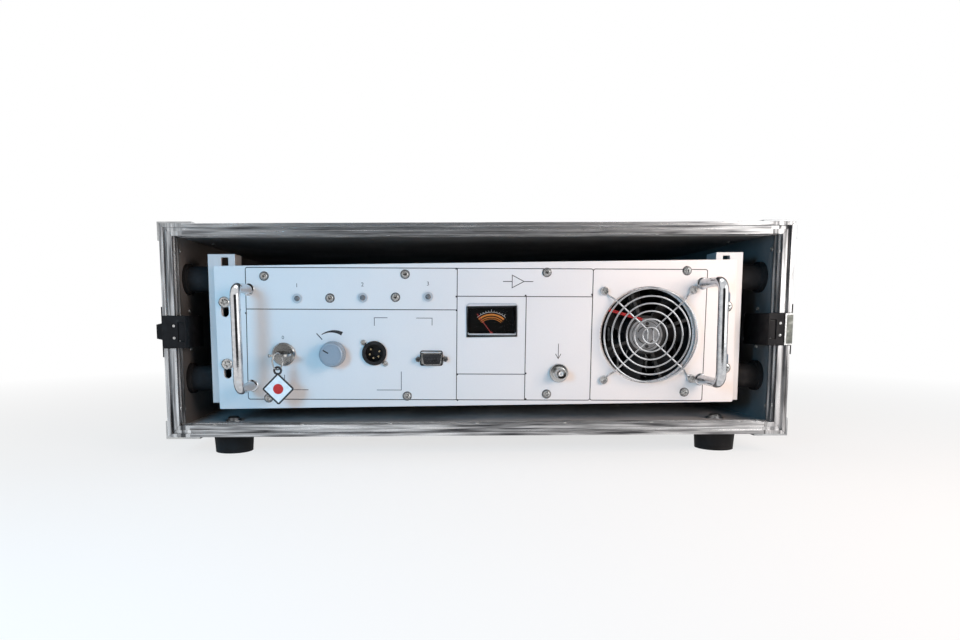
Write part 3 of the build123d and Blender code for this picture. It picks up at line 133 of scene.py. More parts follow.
def beyond(finish, near, far, axis, reach):
    """The far patches where the axis runs past reach metres from the middle, else the near ones."""
    tree = finish.node_tree
    spot = tree.nodes.new("ShaderNodeTexCoord")
    parts = tree.nodes.new("ShaderNodeSeparateXYZ")
    away = tree.nodes.new("ShaderNodeMath")
    away.operation = "ABSOLUTE"
    past = tree.nodes.new("ShaderNodeMath")
    past.operation = "GREATER_THAN"
    past.inputs[1].default_value = reach
    pick = tree.nodes.new("ShaderNodeMix")
    tree.links.new(spot.outputs["Object"], parts.inputs["Vector"])
    tree.links.new(parts.outputs[axis], away.inputs[0])
    tree.links.new(away.outputs[0], past.inputs[0])
    tree.links.new(past.outputs[0], pick.inputs["Factor"])
    tree.links.new(near, pick.inputs["A"])
    tree.links.new(far, pick.inputs["B"])
    return pick.outputs["Result"]


def dress(finish, *nodes):
    """Gives CAD nodes their finish."""
    for node in nodes:
        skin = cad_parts[node].data
        skin.materials.clear()
        skin.materials.append(finish)


board_film = new_finish("board_film", 0.0, 0.55)
board_rub = patches(board_film, film_rub_pitch, detail=9.0)
tint(board_film, board_rub, (0.30, film_dark), (0.55, film_middle), (0.75, film_pale))
roughen(board_film, board_rub, 0.62, 0.42)
press_pebble(board_film)
dress(board_film, "case_left", "case_right", "case_back")
top_film = new_finish("top_film", 0.0, 0.55)
top_rub = patches(top_film, film_rub_pitch, detail=9.0)
# The top board's underside is lifted paler: painted light where little light reaches it.
underside_painted_light_patches = top_film.node_tree.nodes.new("ShaderNodeMath")
underside_painted_light_patches.operation = "ADD"
underside_painted_light_patches.inputs[1].default_value = underside_painted_light
top_film.node_tree.links.new(top_rub, underside_painted_light_patches.inputs[0])
both_faces = beyond(top_film, underside_painted_light_patches.outputs[0], top_rub, "Z", top_middle)
tint(top_film, both_faces, (0.30, film_dark), (0.55, film_middle), (0.70, film_pale), (1.0, film_painted_light_pale))
roughen(top_film, top_rub, 0.62, 0.42)
press_pebble(top_film)
dress(top_film, "case_top")
# The floor board's pale grey is partly dust and partly painted light where the floor lies in shade.
floor_dust_and_light_film = new_finish("floor_dust_and_light_film", 0.0, 0.6)
floor_dust_and_light = patches(floor_dust_and_light_film, floor_dust_and_light_pitch, detail=9.0)
tint(floor_dust_and_light_film, floor_dust_and_light, (0.36, floor_dust_and_light_dark), (0.66, floor_dust_and_light_pale))
roughen(floor_dust_and_light_film, floor_dust_and_light, 0.5, 0.72)
press_pebble(floor_dust_and_light_film)
dress(floor_dust_and_light_film, "case_bottom")

# Rim and edging: mill-finish aluminium extrusions, the front one with a groove for the lid.
# Mitred at the corners and riveted to the boards, with the rivets' tails showing inside; their streaks,
# from near black to bright along the lengths, are partly wear from handling and partly painted reflection.
rim_low, rim_high = [1000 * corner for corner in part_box("front_rim")]
middle_z = (rim_low.z + rim_high.z) / 2
back_y = 1000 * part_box("edge_angles")[1].y
streak_pitch, streak_detail, streak_draw = 330.0, 6.0, 0.05
upright_from, back_frame_from = 0.262, 0.203
rivet_in, upright_rise = 11.0, 52
flange_half, flange_count = 225.0, 9
edge_front, edge_back, edge_count = rim_low.y + 40.0, back_y - 42.0, 7
rivet_head = [(0, -0.4), (3.4, -0.4), (3.4, 0.1), (3.1, 0.6), (2.3, 1.0), (1.2, 1.25), (0, 1.3)]
tail_head = [(0, -0.3), (2.3, -0.3), (2.3, 0.1), (2.0, 0.6), (1.1, 0.8), (0.9, 0.5), (0, 0.45)]
sharp_edge = radians(35.0)


def turned(profile, steps):
    """A piece turned about +Z, in mm; a radius of the profile may be a function of the angle."""
    points, faces, rings = [], [], []
    for radius, height in profile:
        ring = []
        for k in range(1 if radius == 0 else steps):
            angle = 2 * pi * k / steps
            reach = radius(angle) if callable(radius) else radius
            ring.append(len(points))
            points.append((reach * cos(angle), reach * sin(angle), height))
        rings.append(ring)
    for low, high in zip(rings, rings[1:]):
        for k in range(steps):
            n = (k + 1) % steps
            if len(low) == 1:
                faces.append((low[0], high[n], high[k]))
            elif len(high) == 1:
                faces.append((low[k], low[n], high[0]))
            else:
                faces.append((low[k], low[n], high[n], high[k]))
    return points, faces


def seat(x, y, z, out, turn=0.0):
    """Where a shape drawn in mm goes: its foot at x, y, z in mm, its +Z along out."""
    out = Vector(out).normalized()
    side = (Vector((0, 1, 0)) if abs(out.z) > 0.9 else Vector((0, 0, 1))).cross(out).normalized()
    base = Matrix((side, out.cross(side), out)).transposed().to_4x4()
    place = Matrix.Translation(Vector((x, y, z)) / 1000) @ base
    return place @ Matrix.Rotation(turn, 4, "Z") @ Matrix.Scale(0.001, 4)


def row(start, end, count, out):
    """Seats spread evenly from start to end, both counted."""
    start, step = Vector(start), (Vector(end) - Vector(start)) / (count - 1)
    return [seat(*(start + step * k), out) for k in range(count)]


def column(x, y, rise, count, out):
    """Seats in an upright row that reaches as far above the case's middle height as below it."""
    return row((x, y, middle_z - rise), (x, y, middle_z + rise), count, out)


def rivets(profile, seats):
    """A rivet of one profile on each seat."""
    rivet = turned(profile, 16)
    return [(rivet, place) for place in seats]


def gather(name, shapes, finish, body, stands_for=()):
    """One mesh piece made of placed shapes, riding on its body."""
    points, faces = [], []
    for (shape_points, shape_faces), place in shapes:
        first = len(points)
        points += [place @ Vector(point) for point in shape_points]
        faces += [[first + k for k in face] for face in shape_faces]
    mesh = bpy.data.meshes.new(name)
    mesh.from_pydata(points, [], faces)
    mesh.polygons.foreach_set("use_smooth", [True] * len(mesh.polygons))
    mesh.set_sharp_from_angle(angle=sharp_edge)
    mesh.materials.append(finish)
    piece = bpy.data.objects.new(name, mesh)
    bpy.context.scene.collection.objects.link(piece)
    if stands_for:
        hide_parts(*stands_for)
    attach(piece, body)


def frame_streaks(finish):
    """Streaks along the lengths of an upright frame: level, and upright on its two side lengths."""
    level = patches(finish, streak_pitch, (streak_draw, 1, 1), streak_detail)
    upright = patches(finish, streak_pitch, (1, 1, streak_draw), streak_detail)
    return beyond(finish, level, upright, "X", upright_from)


def wear_and_reflection_streaks(finish, streak):
    """Drawn aluminium, streaked along its length from near black to bright: partly wear, partly painted
    reflection.
    """
    tint(finish, streak, (0.32, (0.070, 0.071, 0.075)), (0.43, (0.30, 0.30, 0.305)),
         (0.55, (0.58, 0.58, 0.585)), (0.70, (0.85, 0.85, 0.85)))
    roughen(finish, streak, 0.42, 0.22)
    emboss(finish, streak, 0.00015, 0.2, edge=0.0005)


# The rim's streaks are partly wear and partly painted reflection.
rim_wear_and_reflection = new_finish("rim_wear_and_reflection", 0.9, 0.4)
wear_and_reflection_streaks(rim_wear_and_reflection, frame_streaks(rim_wear_and_reflection))
dress(rim_wear_and_reflection, "front_rim")
edge_aluminium = new_finish("edge_aluminium", 0.9, 0.4)
deep_streaks = patches(edge_aluminium, streak_pitch, (1, streak_draw, 1), streak_detail)
back_streaks = frame_streaks(edge_aluminium)
wear_and_reflection_streaks(edge_aluminium, beyond(edge_aluminium, deep_streaks, back_streaks, "Y", back_frame_from))
dress(edge_aluminium, "edge_angles")

rivet_aluminium = new_finish("rivet_aluminium", 1.0, 0.32)
tint(rivet_aluminium, patches(rivet_aluminium, 260.0), (0.35, (0.45, 0.45, 0.45)), (0.65, (0.82, 0.82, 0.81)))
roughen(rivet_aluminium, patches(rivet_aluminium, 600.0), 0.22, 0.45)
rivet_seats = []
for z, up in ((rim_high.z, 1), (rim_low.z, -1)):
    out = (0, 0, up)
    for y in (rim_low.y + rivet_in, back_y - rivet_in):
        rivet_seats += row((-flange_half, y, z), (flange_half, y, z), flange_count, out)
    for x in (rim_low.x + rivet_in, rim_high.x - rivet_in):
        rivet_seats += row((x, edge_front, z), (x, edge_back, z), edge_count, out)
    back_z = z - up * rivet_in
    rivet_seats += row((-flange_half, back_y, back_z), (flange_half, back_y, back_z), flange_count, (0, 1, 0))
for x, side in ((rim_low.x, -1), (rim_high.x, 1)):
    out = (side, 0, 0)
    for z in (rim_low.z + rivet_in, rim_high.z - rivet_in):
        rivet_seats += row((x, edge_front, z), (x, edge_back, z), edge_count, out)
    rivet_seats += column(x, rim_low.y + rivet_in, upright_rise, 2, out)
    rivet_seats += column(x, back_y - rivet_in, upright_rise, 3, out)
    rivet_seats += column(x - side * rivet_in, back_y, upright_rise, 3, (0, 1, 0))
gather("edge_rivets", rivets(rivet_head, rivet_seats), rivet_aluminium, "amplifier")

rim_wall = 10.0
inner_x, inner_top, inner_floor = rim_high.x - rim_wall, rim_high.z - rim_wall, rim_low.z + rim_wall
tail_y, tail_half, tail_count, tail_rise = rim_low.y + 8.5, 242, 7, 70
wall_x, roof_z = 273.5, 202.5
wall_tails = [(-183.5, 189.0), (-186.0, 43.5), (-161.5, 134.2), (-161.5, 98.3), (-136.6, 128.5),
              (-136.6, 104.4)]
roof_tail_x, roof_tail_y = 262.5, -116.7
tail_seats = row((-tail_half, tail_y, inner_top), (tail_half, tail_y, inner_top), tail_count, (0, 0, -1))
tail_seats += row((-tail_half, tail_y, inner_floor), (tail_half, tail_y, inner_floor), tail_count, (0, 0, 1))
for side in (-1, 1):
    inward = (-side, 0, 0)
    tail_seats += column(side * inner_x, tail_y, tail_rise, 2, inward)
    tail_seats += [seat(side * wall_x, y, z, inward) for y, z in wall_tails]
    tail_seats.append(seat(side * roof_tail_x, roof_tail_y, roof_z, (0, 0, -1)))
gather("rim_rivet_tails", rivets(tail_head, tail_seats), rivet_aluminium, "amplifier")

# Corner braces: zinc-plated sheet pressings that wrap each corner of the case.
# Each is held by its own rivets through edging and board.
brace_low, brace_high = [1000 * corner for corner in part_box("corner_braces")]
brace_front_in, brace_back_in = 11, 13
brace_rivet_near, brace_rivet_far, brace_rivet_drop = 8, 22, 8.5
zinc_steel = new_finish("zinc_steel", 1.0, 0.38)
zinc_bloom = patches(zinc_steel, 70.0, detail=7.0)
tint(zinc_steel, zinc_bloom, (0.32, (0.36, 0.37, 0.38)), (0.55, (0.58, 0.59, 0.60)),
     (0.72, (0.72, 0.72, 0.70)))
roughen(zinc_steel, zinc_bloom, 0.28, 0.48)
emboss(zinc_steel, patches(zinc_steel, 500.0), 0.0001, 0.3, edge=0.0004)
dress(zinc_steel, "corner_braces", "rack_frame", "foot_screws", "carry_plates")
brace_seats = []
for x, side in ((brace_low.x, -1), (brace_high.x, 1)):
    near_x, far_x = x - side * brace_rivet_near, x - side * brace_rivet_far
    for y in (brace_low.y + brace_front_in, brace_high.y - brace_back_in):
        for z, up in ((brace_high.z, 1), (brace_low.z, -1)):
            brace_seats += row((near_x, y, z), (far_x, y, z), 2, (0, 0, up))
            brace_seats.append(seat(x, y, z - up * brace_rivet_drop, (side, 0, 0)))
gather("brace_rivets", rivets(rivet_head, brace_seats), rivet_aluminium, "amplifier")

# Feet: four round mouldings in black rubber, each on a bolt through the floor board.
# Bolt heads and washers of zinc-plated steel show on the floor inside.
black_rubber = new_finish("black_rubber", 0.0, 0.62, gleam=0.2)
rubber_dust = patches(black_rubber, 55.0, detail=8.0)
tint(black_rubber, rubber_dust, (0.35, (0.010, 0.010, 0.010)), (0.60, (0.020, 0.020, 0.021)),
     (0.78, (0.045, 0.044, 0.042)))
roughen(black_rubber, rubber_dust, 0.66, 0.85)
emboss(black_rubber, patches(black_rubber, 900.0), 0.0002, 0.35, edge=0.0012)
dress(black_rubber, "feet", "shock_mounts")

# Butterfly latches: black pressed dishes riveted into the side walls, each with a turning cam, a
# sliding hook and a folding wing of steel; the left cam and wing are painted black as shade, the right
# ones keep a paler steel. Rubber seals line the hooks' mouths, and a bright keeper frame with a worn pad
# sits beside the right one.
dish_low, dish_high = [1000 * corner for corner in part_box("latch_dishes")]
dish_front_in, dish_back_in, dish_rivet_drop = 6, 5, 4
pin_x, pin_rise = 272.5, 5.4
mouth_half, mouth_past = 9.3, 1.3
seal_width, seal_low, seal_high = 2.4, -1.7, -1.25
keeper_in, keeper_out, keeper_half = 277.0, 283.5, 13.6
keeper_width, keeper_foot, keeper_height = 1.3, -0.1, 0.9
pad_x, pad_half, pad_width, pad_height = 280.6, 12.9, 6.0, 0.4
ink_low, ink_high, mitre_least = -0.03, 0.05, 0.3


def stroke(points, width, low=ink_low, high=ink_high):
    """A filled line along points (u, v), with mitred corners; width may differ from point to point."""
    points = [Vector(point) for point in points]
    closed = (points[0] - points[-1]).length < 0.001
    if closed:
        points.pop()
    count = len(points)
    widths = width if isinstance(width, list) else [width] * count
    verts, faces = [], []
    for k, point in enumerate(points):
        before = points[k - 1] if k or closed else 2 * point - points[k + 1]
        after = points[(k + 1) % count] if k < count - 1 or closed else 2 * point - points[k - 1]
        leaving = (after - point).normalized()
        across = ((point - before).normalized() + leaving).normalized().orthogonal()
        reach = widths[k] / 2 / max(mitre_least, across.dot(leaving.orthogonal()))
        for side in (1, -1):
            for height in (low, high):
                verts.append((*(point + side * reach * across), height))
    for k in range(count if closed else count - 1):
        a, b = 4 * k, 4 * ((k + 1) % count)
        faces += [(a + 1, a + 3, b + 3, b + 1), (a, b, b + 2, a + 2), (a, a + 1, b + 1, b),
                  (a + 2, b + 2, b + 3, a + 3)]
    if not closed:
        end = 4 * (count - 1)
        faces += [(0, 2, 3, 1), (end, end + 1, end + 3, end + 2)]
    return verts, faces


latch_black_and_shade = new_finish("latch_black_and_shade", 0.0, 0.5, gleam=0.25)
latch_rub = patches(latch_black_and_shade, 120.0, detail=9.0)
tint(latch_black_and_shade, latch_rub, (0.42, (0.004, 0.004, 0.005)), (0.66, (0.009, 0.009, 0.010)),
     (0.82, (0.034, 0.034, 0.032)))
roughen(latch_black_and_shade, latch_rub, 0.60, 0.42)
emboss(latch_black_and_shade, patches(latch_black_and_shade, 700.0), 0.0001, 0.3, edge=0.0005)
# The left cam and wing take this black as painted shade; the dishes and hooks are black in truth.
dress(latch_black_and_shade, "latch_dishes", "left_latch_cam", "left_latch_hook", "left_latch_wing", "right_latch_hook")
bright_latch_steel = new_finish("bright_latch_steel", 0.85, 0.4)
bright_latch_tone = patches(bright_latch_steel, 150.0, detail=9.0)
tint(bright_latch_steel, bright_latch_tone, (0.34, (0.07, 0.075, 0.07)), (0.55, (0.20, 0.21, 0.19)),
     (0.72, (0.46, 0.47, 0.44)))
roughen(bright_latch_steel, bright_latch_tone, 0.30, 0.5)
emboss(bright_latch_steel, patches(bright_latch_steel, 700.0), 0.0001, 0.3, edge=0.0006)
# The right cam and wing keep a paler steel, where their left twins are painted black as shade.
dress(bright_latch_steel, "right_latch_cam", "right_latch_wing")
small_rivet = [(radius * 0.62, height * 0.7) for radius, height in rivet_head]
pin_rivet = [(radius * 0.38, height * 0.5) for radius, height in rivet_head]
dish_front, dish_back = dish_low.y + dish_front_in, dish_high.y - dish_back_in
dish_seats = []
for x, side in ((dish_low.x, -1), (dish_high.x, 1)):
    for z in (dish_low.z + dish_rivet_drop, dish_high.z - dish_rivet_drop):
        dish_seats += row((x, dish_front, z), (x, dish_back, z), 3, (side, 0, 0))
latch_shapes = rivets(small_rivet, dish_seats)
for side in (-1, 1):
    latch_shapes += rivets(pin_rivet, column(side * pin_x, rim_low.y, pin_rise, 2, (0, -1, 0)))
gather("latch_rivets", latch_shapes, rivet_aluminium, "amplifier")
front_face = seat(0, rim_low.y, middle_z, (0, -1, 0))
seal_shapes = []
for word, side in (("left", -1), ("right", 1)):
    mouth_in, hook_out = sorted(abs(1000 * corner.x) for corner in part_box(f"{word}_latch_hook"))
    mouth_out = hook_out + mouth_past
    mouth = [(mouth_in, -mouth_half), (mouth_out, -mouth_half), (mouth_out, mouth_half),
             (mouth_in, mouth_half)]
    seal = stroke([(side * u, v) for u, v in mouth], seal_width, seal_low, seal_high)
    seal_shapes.append((seal, front_face))
gather("latch_mouth_felts", seal_shapes, black_rubber, "amplifier")
keeper_run = [(keeper_out, keeper_half), (keeper_in, keeper_half), (keeper_in, -keeper_half),
              (keeper_out, -keeper_half)]
keeper_frame = stroke(keeper_run, keeper_width, keeper_foot, keeper_height)
keeper_pad = stroke([(pad_x, -pad_half), (pad_x, pad_half)], pad_width, keeper_foot, pad_height)
gather("right_keeper_frame", [(keeper_frame, front_face)], rivet_aluminium, "amplifier")
gather("right_keeper_pad", [(keeper_pad, front_face)], bright_latch_steel, "amplifier")

# Carrying handles: zinc plates riveted to the side walls, chromed steel bails that fold down,
# and ribbed rubber sleeves pushed over each bail's grip.
plate_low, plate_high = [1000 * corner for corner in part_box("carry_plates")]
plate_face, plate_rivet_in, plate_rivet_drop = 282.5, 8, 7
grip_half, grip_chamfer, grip_margin, grip_rise = 39.5, 1.2, 2.6, 8
grip_end, grip_root, grip_crest = 7.2, 8.3, 8.9
rib_count = 14
bright_chrome = new_finish("bright_chrome", 1.0, 0.08)
chrome_smear = patches(bright_chrome, 240.0, detail=3.0)
tint(bright_chrome, chrome_smear, (0.35, (0.52, 0.53, 0.55)), (0.65, (0.63, 0.64, 0.66)))
roughen(bright_chrome, chrome_smear, 0.05, 0.10)
dress(bright_chrome, "left_handle_bail", "right_handle_bail", "bow_handles", "fan_guard")
plate_front, plate_back = plate_low.y + plate_rivet_in, plate_high.y - plate_rivet_in
plate_seats = []
for side in (-1, 1):
    x = side * plate_face
    for z in (plate_low.z + plate_rivet_drop, plate_high.z - plate_rivet_drop):
        plate_seats += row((x, plate_front, z), (x, plate_back, z), 2, (side, 0, 0))
gather("handle_plate_rivets", rivets(rivet_head, plate_seats), rivet_aluminium, "amplifier")
grip_profile = [(0, -grip_half), (grip_end, -grip_half), (grip_root, -grip_half + grip_chamfer)]
for k in range(rib_count):
    foot = -grip_half + grip_margin + k * 2 * (grip_half - grip_margin) / rib_count
    grip_profile += [(grip_root, foot + 0.5), (grip_crest, foot + 1.5), (grip_crest, foot + 3.6),
                     (grip_root, foot + 4.7)]
grip_profile += [(grip_root, grip_half - grip_chamfer), (grip_end, grip_half), (0, grip_half)]
for word in ("left", "right"):
    bail_low, bail_high = [1000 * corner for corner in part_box(f"{word}_handle_bail")]
    bail_middle = (bail_low + bail_high) / 2
    grip_seat = seat(bail_middle.x, bail_middle.y, bail_low.z + grip_rise, (0, 1, 0))
    gather(f"{word}_handle_grip", [(turned(grip_profile, 32), grip_seat)], black_rubber, f"{word}_handle")

# Inner rack: two slotted aluminium rails on a zinc-plated frame, hung on the rubber mounts.
# Pan-head bolts with a cross recess clamp the amplifier's panel to sliding nuts in the rails.
panel_roll, panel_y, panel_z = radians(0.5), -185.075, 111.25
rack_bolt_places = [(-232.5, -24.1), (-232.5, 33.1), (232.5, -34.1), (232.5, 23.1)]
rail_aluminium = new_finish("rail_aluminium", 0.45, 0.42)
rail_smear = patches(rail_aluminium, 45.0, (1, 1, 0.15), detail=7.0)
tint(rail_aluminium, rail_smear, (0.30, (0.54, 0.55, 0.57)), (0.62, (0.72, 0.73, 0.74)))
roughen(rail_aluminium, rail_smear, 0.34, 0.5)
emboss(rail_aluminium, patches(rail_aluminium, 900.0, (1, 1, 0.05)), 0.00006, 0.3, edge=0.0004)
dress(rail_aluminium, "rack_rails")
bright_screw = new_finish("bright_screw", 1.0, 0.25)
tint(bright_screw, patches(bright_screw, 300.0), (0.35, (0.44, 0.44, 0.44)), (0.65, (0.64, 0.64, 0.63)))
roughen(bright_screw, patches(bright_screw, 900.0), 0.16, 0.34)


def on_panel(u, v, out=0.0, turn=0.0):
    """A seat on the slightly rolled panel: u to the right and v up from its middle, out in front of it."""
    x = u * cos(panel_roll) - v * sin(panel_roll)
    z = panel_z + u * sin(panel_roll) + v * cos(panel_roll)
    return seat(x, panel_y - out, z, (0, -1, 0), turn - panel_roll)


def cross(width, reach):
    """Outline of a cross recess, as a radius for each angle."""
    def edge(angle):
        lean = abs((angle + pi / 4) % (pi / 2) - pi / 4)
        return min(reach / cos(lean), width / max(sin(lean), 0.001))
    return edge


def many_sided(flat, sides):
    """Outline of a nut or a socket by its half width across the flats."""
    return lambda angle: flat / cos((angle + pi / sides) % (2 * pi / sides) - pi / sides)


def pan_head(radius, height, shank, length, recess):
    """A pan-head screw with a cross recess, its head on the seat."""
    slot_width, slot_reach = 0.17 * radius, 0.56 * radius
    return turned([(0, -length), (shank, -length), (shank, 0), (radius, 0), (radius, 0.45 * height),
                   (0.90 * radius, 0.80 * height), (0.70 * radius, height),
                   (cross(slot_width, slot_reach), height),
                   (cross(0.7 * slot_width, 0.8 * slot_reach), recess), (0, recess - 0.2)], 48)


rack_bolt = pan_head(radius=5.25, height=3.2, shank=2.75, length=17.5, recess=1.5)
nut_edge, nut_side = many_sided(5.0, 4), many_sided(5.5, 4)
rack_nut = turned([(0, -11.5), (nut_edge, -11.5), (nut_side, -11.0), (nut_side, -7.5), (nut_edge, -7.0),
                   (0, -7.0)], 24)
rack_shapes = []
for u, v in rack_bolt_places:
    rack_shapes += [(rack_bolt, on_panel(u, v, turn=radians(20))), (rack_nut, on_panel(u, v))]
gather("rack_bolts", rack_shapes, bright_screw, "amplifier", ["rack_screws"])

# Chassis: a folded tray, cover and rear panel of passivated steel sheet behind the front panel.
# It carries the boards, the supply and a finned heat sink in the fan's stream.
chassis_sheet = new_finish("chassis_sheet", 1.0, 0.4)
sheet_sheen = patches(chassis_sheet, 20.0, detail=8.0)
tint(chassis_sheet, sheet_sheen, (0.32, (0.44, 0.45, 0.44)), (0.66, (0.66, 0.66, 0.62)))
roughen(chassis_sheet, sheet_sheen, 0.32, 0.5)
dress(chassis_sheet, "chassis_tray", "chassis_cover", "rear_panel", "power_supply")
sink_aluminium = new_finish("sink_aluminium", 1.0, 0.45)
sink_draw = patches(sink_aluminium, 300.0, (1, 0.02, 1))
tint(sink_aluminium, sink_draw, (0.35, (0.52, 0.53, 0.54)), (0.65, (0.70, 0.71, 0.72)))
roughen(sink_aluminium, sink_draw, 0.36, 0.54)
dress(sink_aluminium, "heat_sink")
circuit_green = new_finish("circuit_green", 0.0, 0.3)
tint(circuit_green, patches(circuit_green, 180.0), (0.40, (0.010, 0.060, 0.025)),
     (0.60, (0.020, 0.110, 0.045)))
roughen(circuit_green, patches(circuit_green, 90.0), 0.22, 0.4)
dress(circuit_green, "rf_board", "lamp_board")

# Front panel: 4 mm aluminium, 19 inch wide, matt silver anodised, hanging half a degree off level.
# Its frames, brackets and plain figures are engraved and filled with black.
frame_left, frame_right, frame_rise, frame_corner = -213.3, 213.3, 61, 2.0
meter_side, signal_side, fan_side = -18.3, 45.8, 107.4
lamp_line, title_line, meter_line = 22.9, 35.5, -36.7
lamp_us, lamp_figure_v, lamp_figure = (-165.5, -105.0, -44.5), 47.5, 3.6
key_u, key_v, key_figure_rise, key_figure, key_dot_in = -180, -17.5, 17.3, 3.2, 13.5
knob_u, knob_v = -133.7, -16
wedge_radius, wedge_start, wedge_end, wedge_steps = 18.6, 124, 62, 24
wedge_thin, wedge_thick = 0.5, 3.6
zero_inner, zero_outer, zero_degrees, zero_width = 14.7, 22.4, 132, 0.9
data_u, data_v, data_half_width, data_half_height, data_corner = -41.9, -22, 10.1, 6.6, 1.6
sign_left, sign_tip, sign_v, sign_half = 32.5, 43.5, 49.25, 5.75
signal_u, arrow_half = 76.7, 2.5
frame_width, bracket_width, sign_width, arrow_width, data_width = 0.75, 0.55, 0.7, 0.6, 1.2
join_dot, key_dot = 0.9, 1.0
figure_share = 0.7
panel_silver = new_finish("panel_silver", 0.12, 0.4)
panel_grain = patches(panel_silver, 2600.0, (0.3, 1, 1), detail=2.0)
tint(panel_silver, panel_grain, (0.30, (0.750, 0.747, 0.742)), (0.70, (0.775, 0.772, 0.767)))
roughen(panel_silver, patches(panel_silver, 30.0), 0.36, 0.46)
emboss(panel_silver, panel_grain, 0.00002, 0.15, edge=0.0005)
dress(panel_silver, "front_panel")
black_fill = new_finish("black_fill", 0.0, 0.55)
tint(black_fill, patches(black_fill, 900.0), (0.35, (0.012, 0.012, 0.013)), (0.70, (0.040, 0.040, 0.042)))
roughen(black_fill, patches(black_fill, 400.0), 0.45, 0.65)


def arc(u, v, radius, start, end, steps=24):
    """Points along an arc, its angles in degrees counted from the right."""
    turns = [radians(start + (end - start) * k / steps) for k in range(steps + 1)]
    return [(u + radius * cos(turn), v + radius * sin(turn)) for turn in turns]


def spoke(u, v, inner, outer, degrees):
    """The two ends of a mark that points away from u, v."""
    turn = radians(degrees)
    return [(u + reach * cos(turn), v + reach * sin(turn)) for reach in (inner, outer)]


def frame_line(u0, v0, u1, v1, corner):
    """A closed box with rounded corners."""
    corners = ((u1 - corner, v1 - corner, 0), (u0 + corner, v1 - corner, 90),
               (u0 + corner, v0 + corner, 180), (u1 - corner, v0 + corner, 270))
    points = [point for u, v, start in corners for point in arc(u, v, corner, start, start + 90, 6)]
    return points + points[:1]


def dot(radius):
    """A round dab of fill."""
    return turned([(0, ink_low), (radius, ink_low), (radius, ink_high), (0, ink_high)], 16)


def figure(words, height):
    """Plain figures in a thin layer of fill, centred on their seat."""
    letters = bpy.data.curves.new("figure", "FONT")
    letters.body = words
    letters.size = height / figure_share
    letters.align_x, letters.align_y = "CENTER", "CENTER"
    letters.resolution_u = 3
    letters.extrude = (ink_high - ink_low) / 2
    writer = bpy.data.objects.new("figure", letters)
    bpy.context.scene.collection.objects.link(writer)
    bpy.context.view_layer.update()
    outline = bpy.data.meshes.new_from_object(writer.evaluated_get(bpy.context.evaluated_depsgraph_get()))
    shape = [tuple(v.co) for v in outline.vertices], [tuple(f.vertices) for f in outline.polygons]
    bpy.data.objects.remove(writer)
    bpy.data.curves.remove(letters)
    bpy.data.meshes.remove(outline)
    return shape


wedge_swell = wedge_thick - wedge_thin
wedge_widths = [wedge_thin + wedge_swell * k / wedge_steps for k in range(wedge_steps + 1)]
panel_lines = [
    stroke(frame_line(frame_left, -frame_rise, fan_side, frame_rise, frame_corner), frame_width),
    stroke(frame_line(fan_side, -frame_rise, frame_right, frame_rise, frame_corner), frame_width),
    stroke([(meter_side, -frame_rise), (meter_side, frame_rise)], frame_width),
    stroke([(signal_side, -frame_rise), (signal_side, title_line)], frame_width),
    stroke([(frame_left, lamp_line), (meter_side, lamp_line)], frame_width),
    stroke([(meter_side, title_line), (fan_side, title_line)], frame_width),
    stroke([(meter_side, meter_line), (signal_side, meter_line)], frame_width),
    stroke([(-95.0, 8.0), (-95.0, 15.4), (-82.8, 15.4)], bracket_width),
    stroke([(-56.1, 15.2), (-41.4, 15.2), (-41.4, 8.5)], bracket_width),
    stroke([(-70.0, -34.6), (-70.0, -52), (-93.0, -52)], bracket_width),
    stroke([(-157.0, -52), (-179.0, -52), (-179.0, -38)], bracket_width),
    stroke(arc(knob_u, knob_v, wedge_radius, wedge_start, wedge_end, wedge_steps), wedge_widths),
    stroke(spoke(knob_u, knob_v, zero_inner, zero_outer, zero_degrees), zero_width),
    stroke([(sign_left, sign_v - sign_half), (sign_left, sign_v + sign_half), (sign_tip, sign_v),
            (sign_left, sign_v - sign_half)], sign_width),
    stroke([(24, sign_v), (32.3, sign_v)], sign_width),
    stroke([(43.8, sign_v), (52, sign_v)], sign_width),
    stroke([(signal_u, -8), (signal_u, -21)], arrow_width),
    stroke([(signal_u - arrow_half, -17.5), (signal_u, -22), (signal_u + arrow_half, -17.5)], arrow_width),
]
panel_shapes = [(shape, on_panel(0, 0)) for shape in panel_lines]
for k, u in enumerate(lamp_us):
    panel_shapes.append((figure(str(k + 1), lamp_figure), on_panel(u, lamp_figure_v)))
panel_shapes.append((figure("0", key_figure), on_panel(key_u, key_v + key_figure_rise)))
line_joins = [(frame_left, lamp_line), (meter_side, lamp_line), (meter_side, title_line),
              (signal_side, title_line), (fan_side, title_line), (meter_side, meter_line),
              (signal_side, meter_line), (meter_side, frame_rise), (meter_side, -frame_rise),
              (signal_side, -frame_rise)]
panel_shapes += [(dot(join_dot), on_panel(u, v)) for u, v in line_joins]
panel_shapes.append((dot(key_dot), on_panel(key_u - key_dot_in, key_v)))
data_line = frame_line(data_u - data_half_width, data_v - data_half_height, data_u + data_half_width,
                       data_v + data_half_height, data_corner)
panel_shapes.append((stroke(data_line, data_width), on_panel(0, 0)))
gather("panel_engraving", panel_shapes, black_fill, "amplifier")

# Bow handles: 8.7 mm steel rod, bent, polished and chromed, screwed on from behind the panel.
# They keep the chrome given above; small turned collars cover their seats.
bow_u, bow_v = 210.2, 44.5
bow_places = [(side * bow_u, rise * bow_v) for side in (-1, 1) for rise in (-1, 1)]
bow_collar = turned([(0, -0.2), (5.6, -0.2), (5.6, 0.5), (5.2, 0.9), (4.2, 1.0), (0, 1.0)], 32)
gather("bow_collars", [(bow_collar, on_panel(u, v)) for u, v in bow_places],
       bright_chrome, "amplifier")

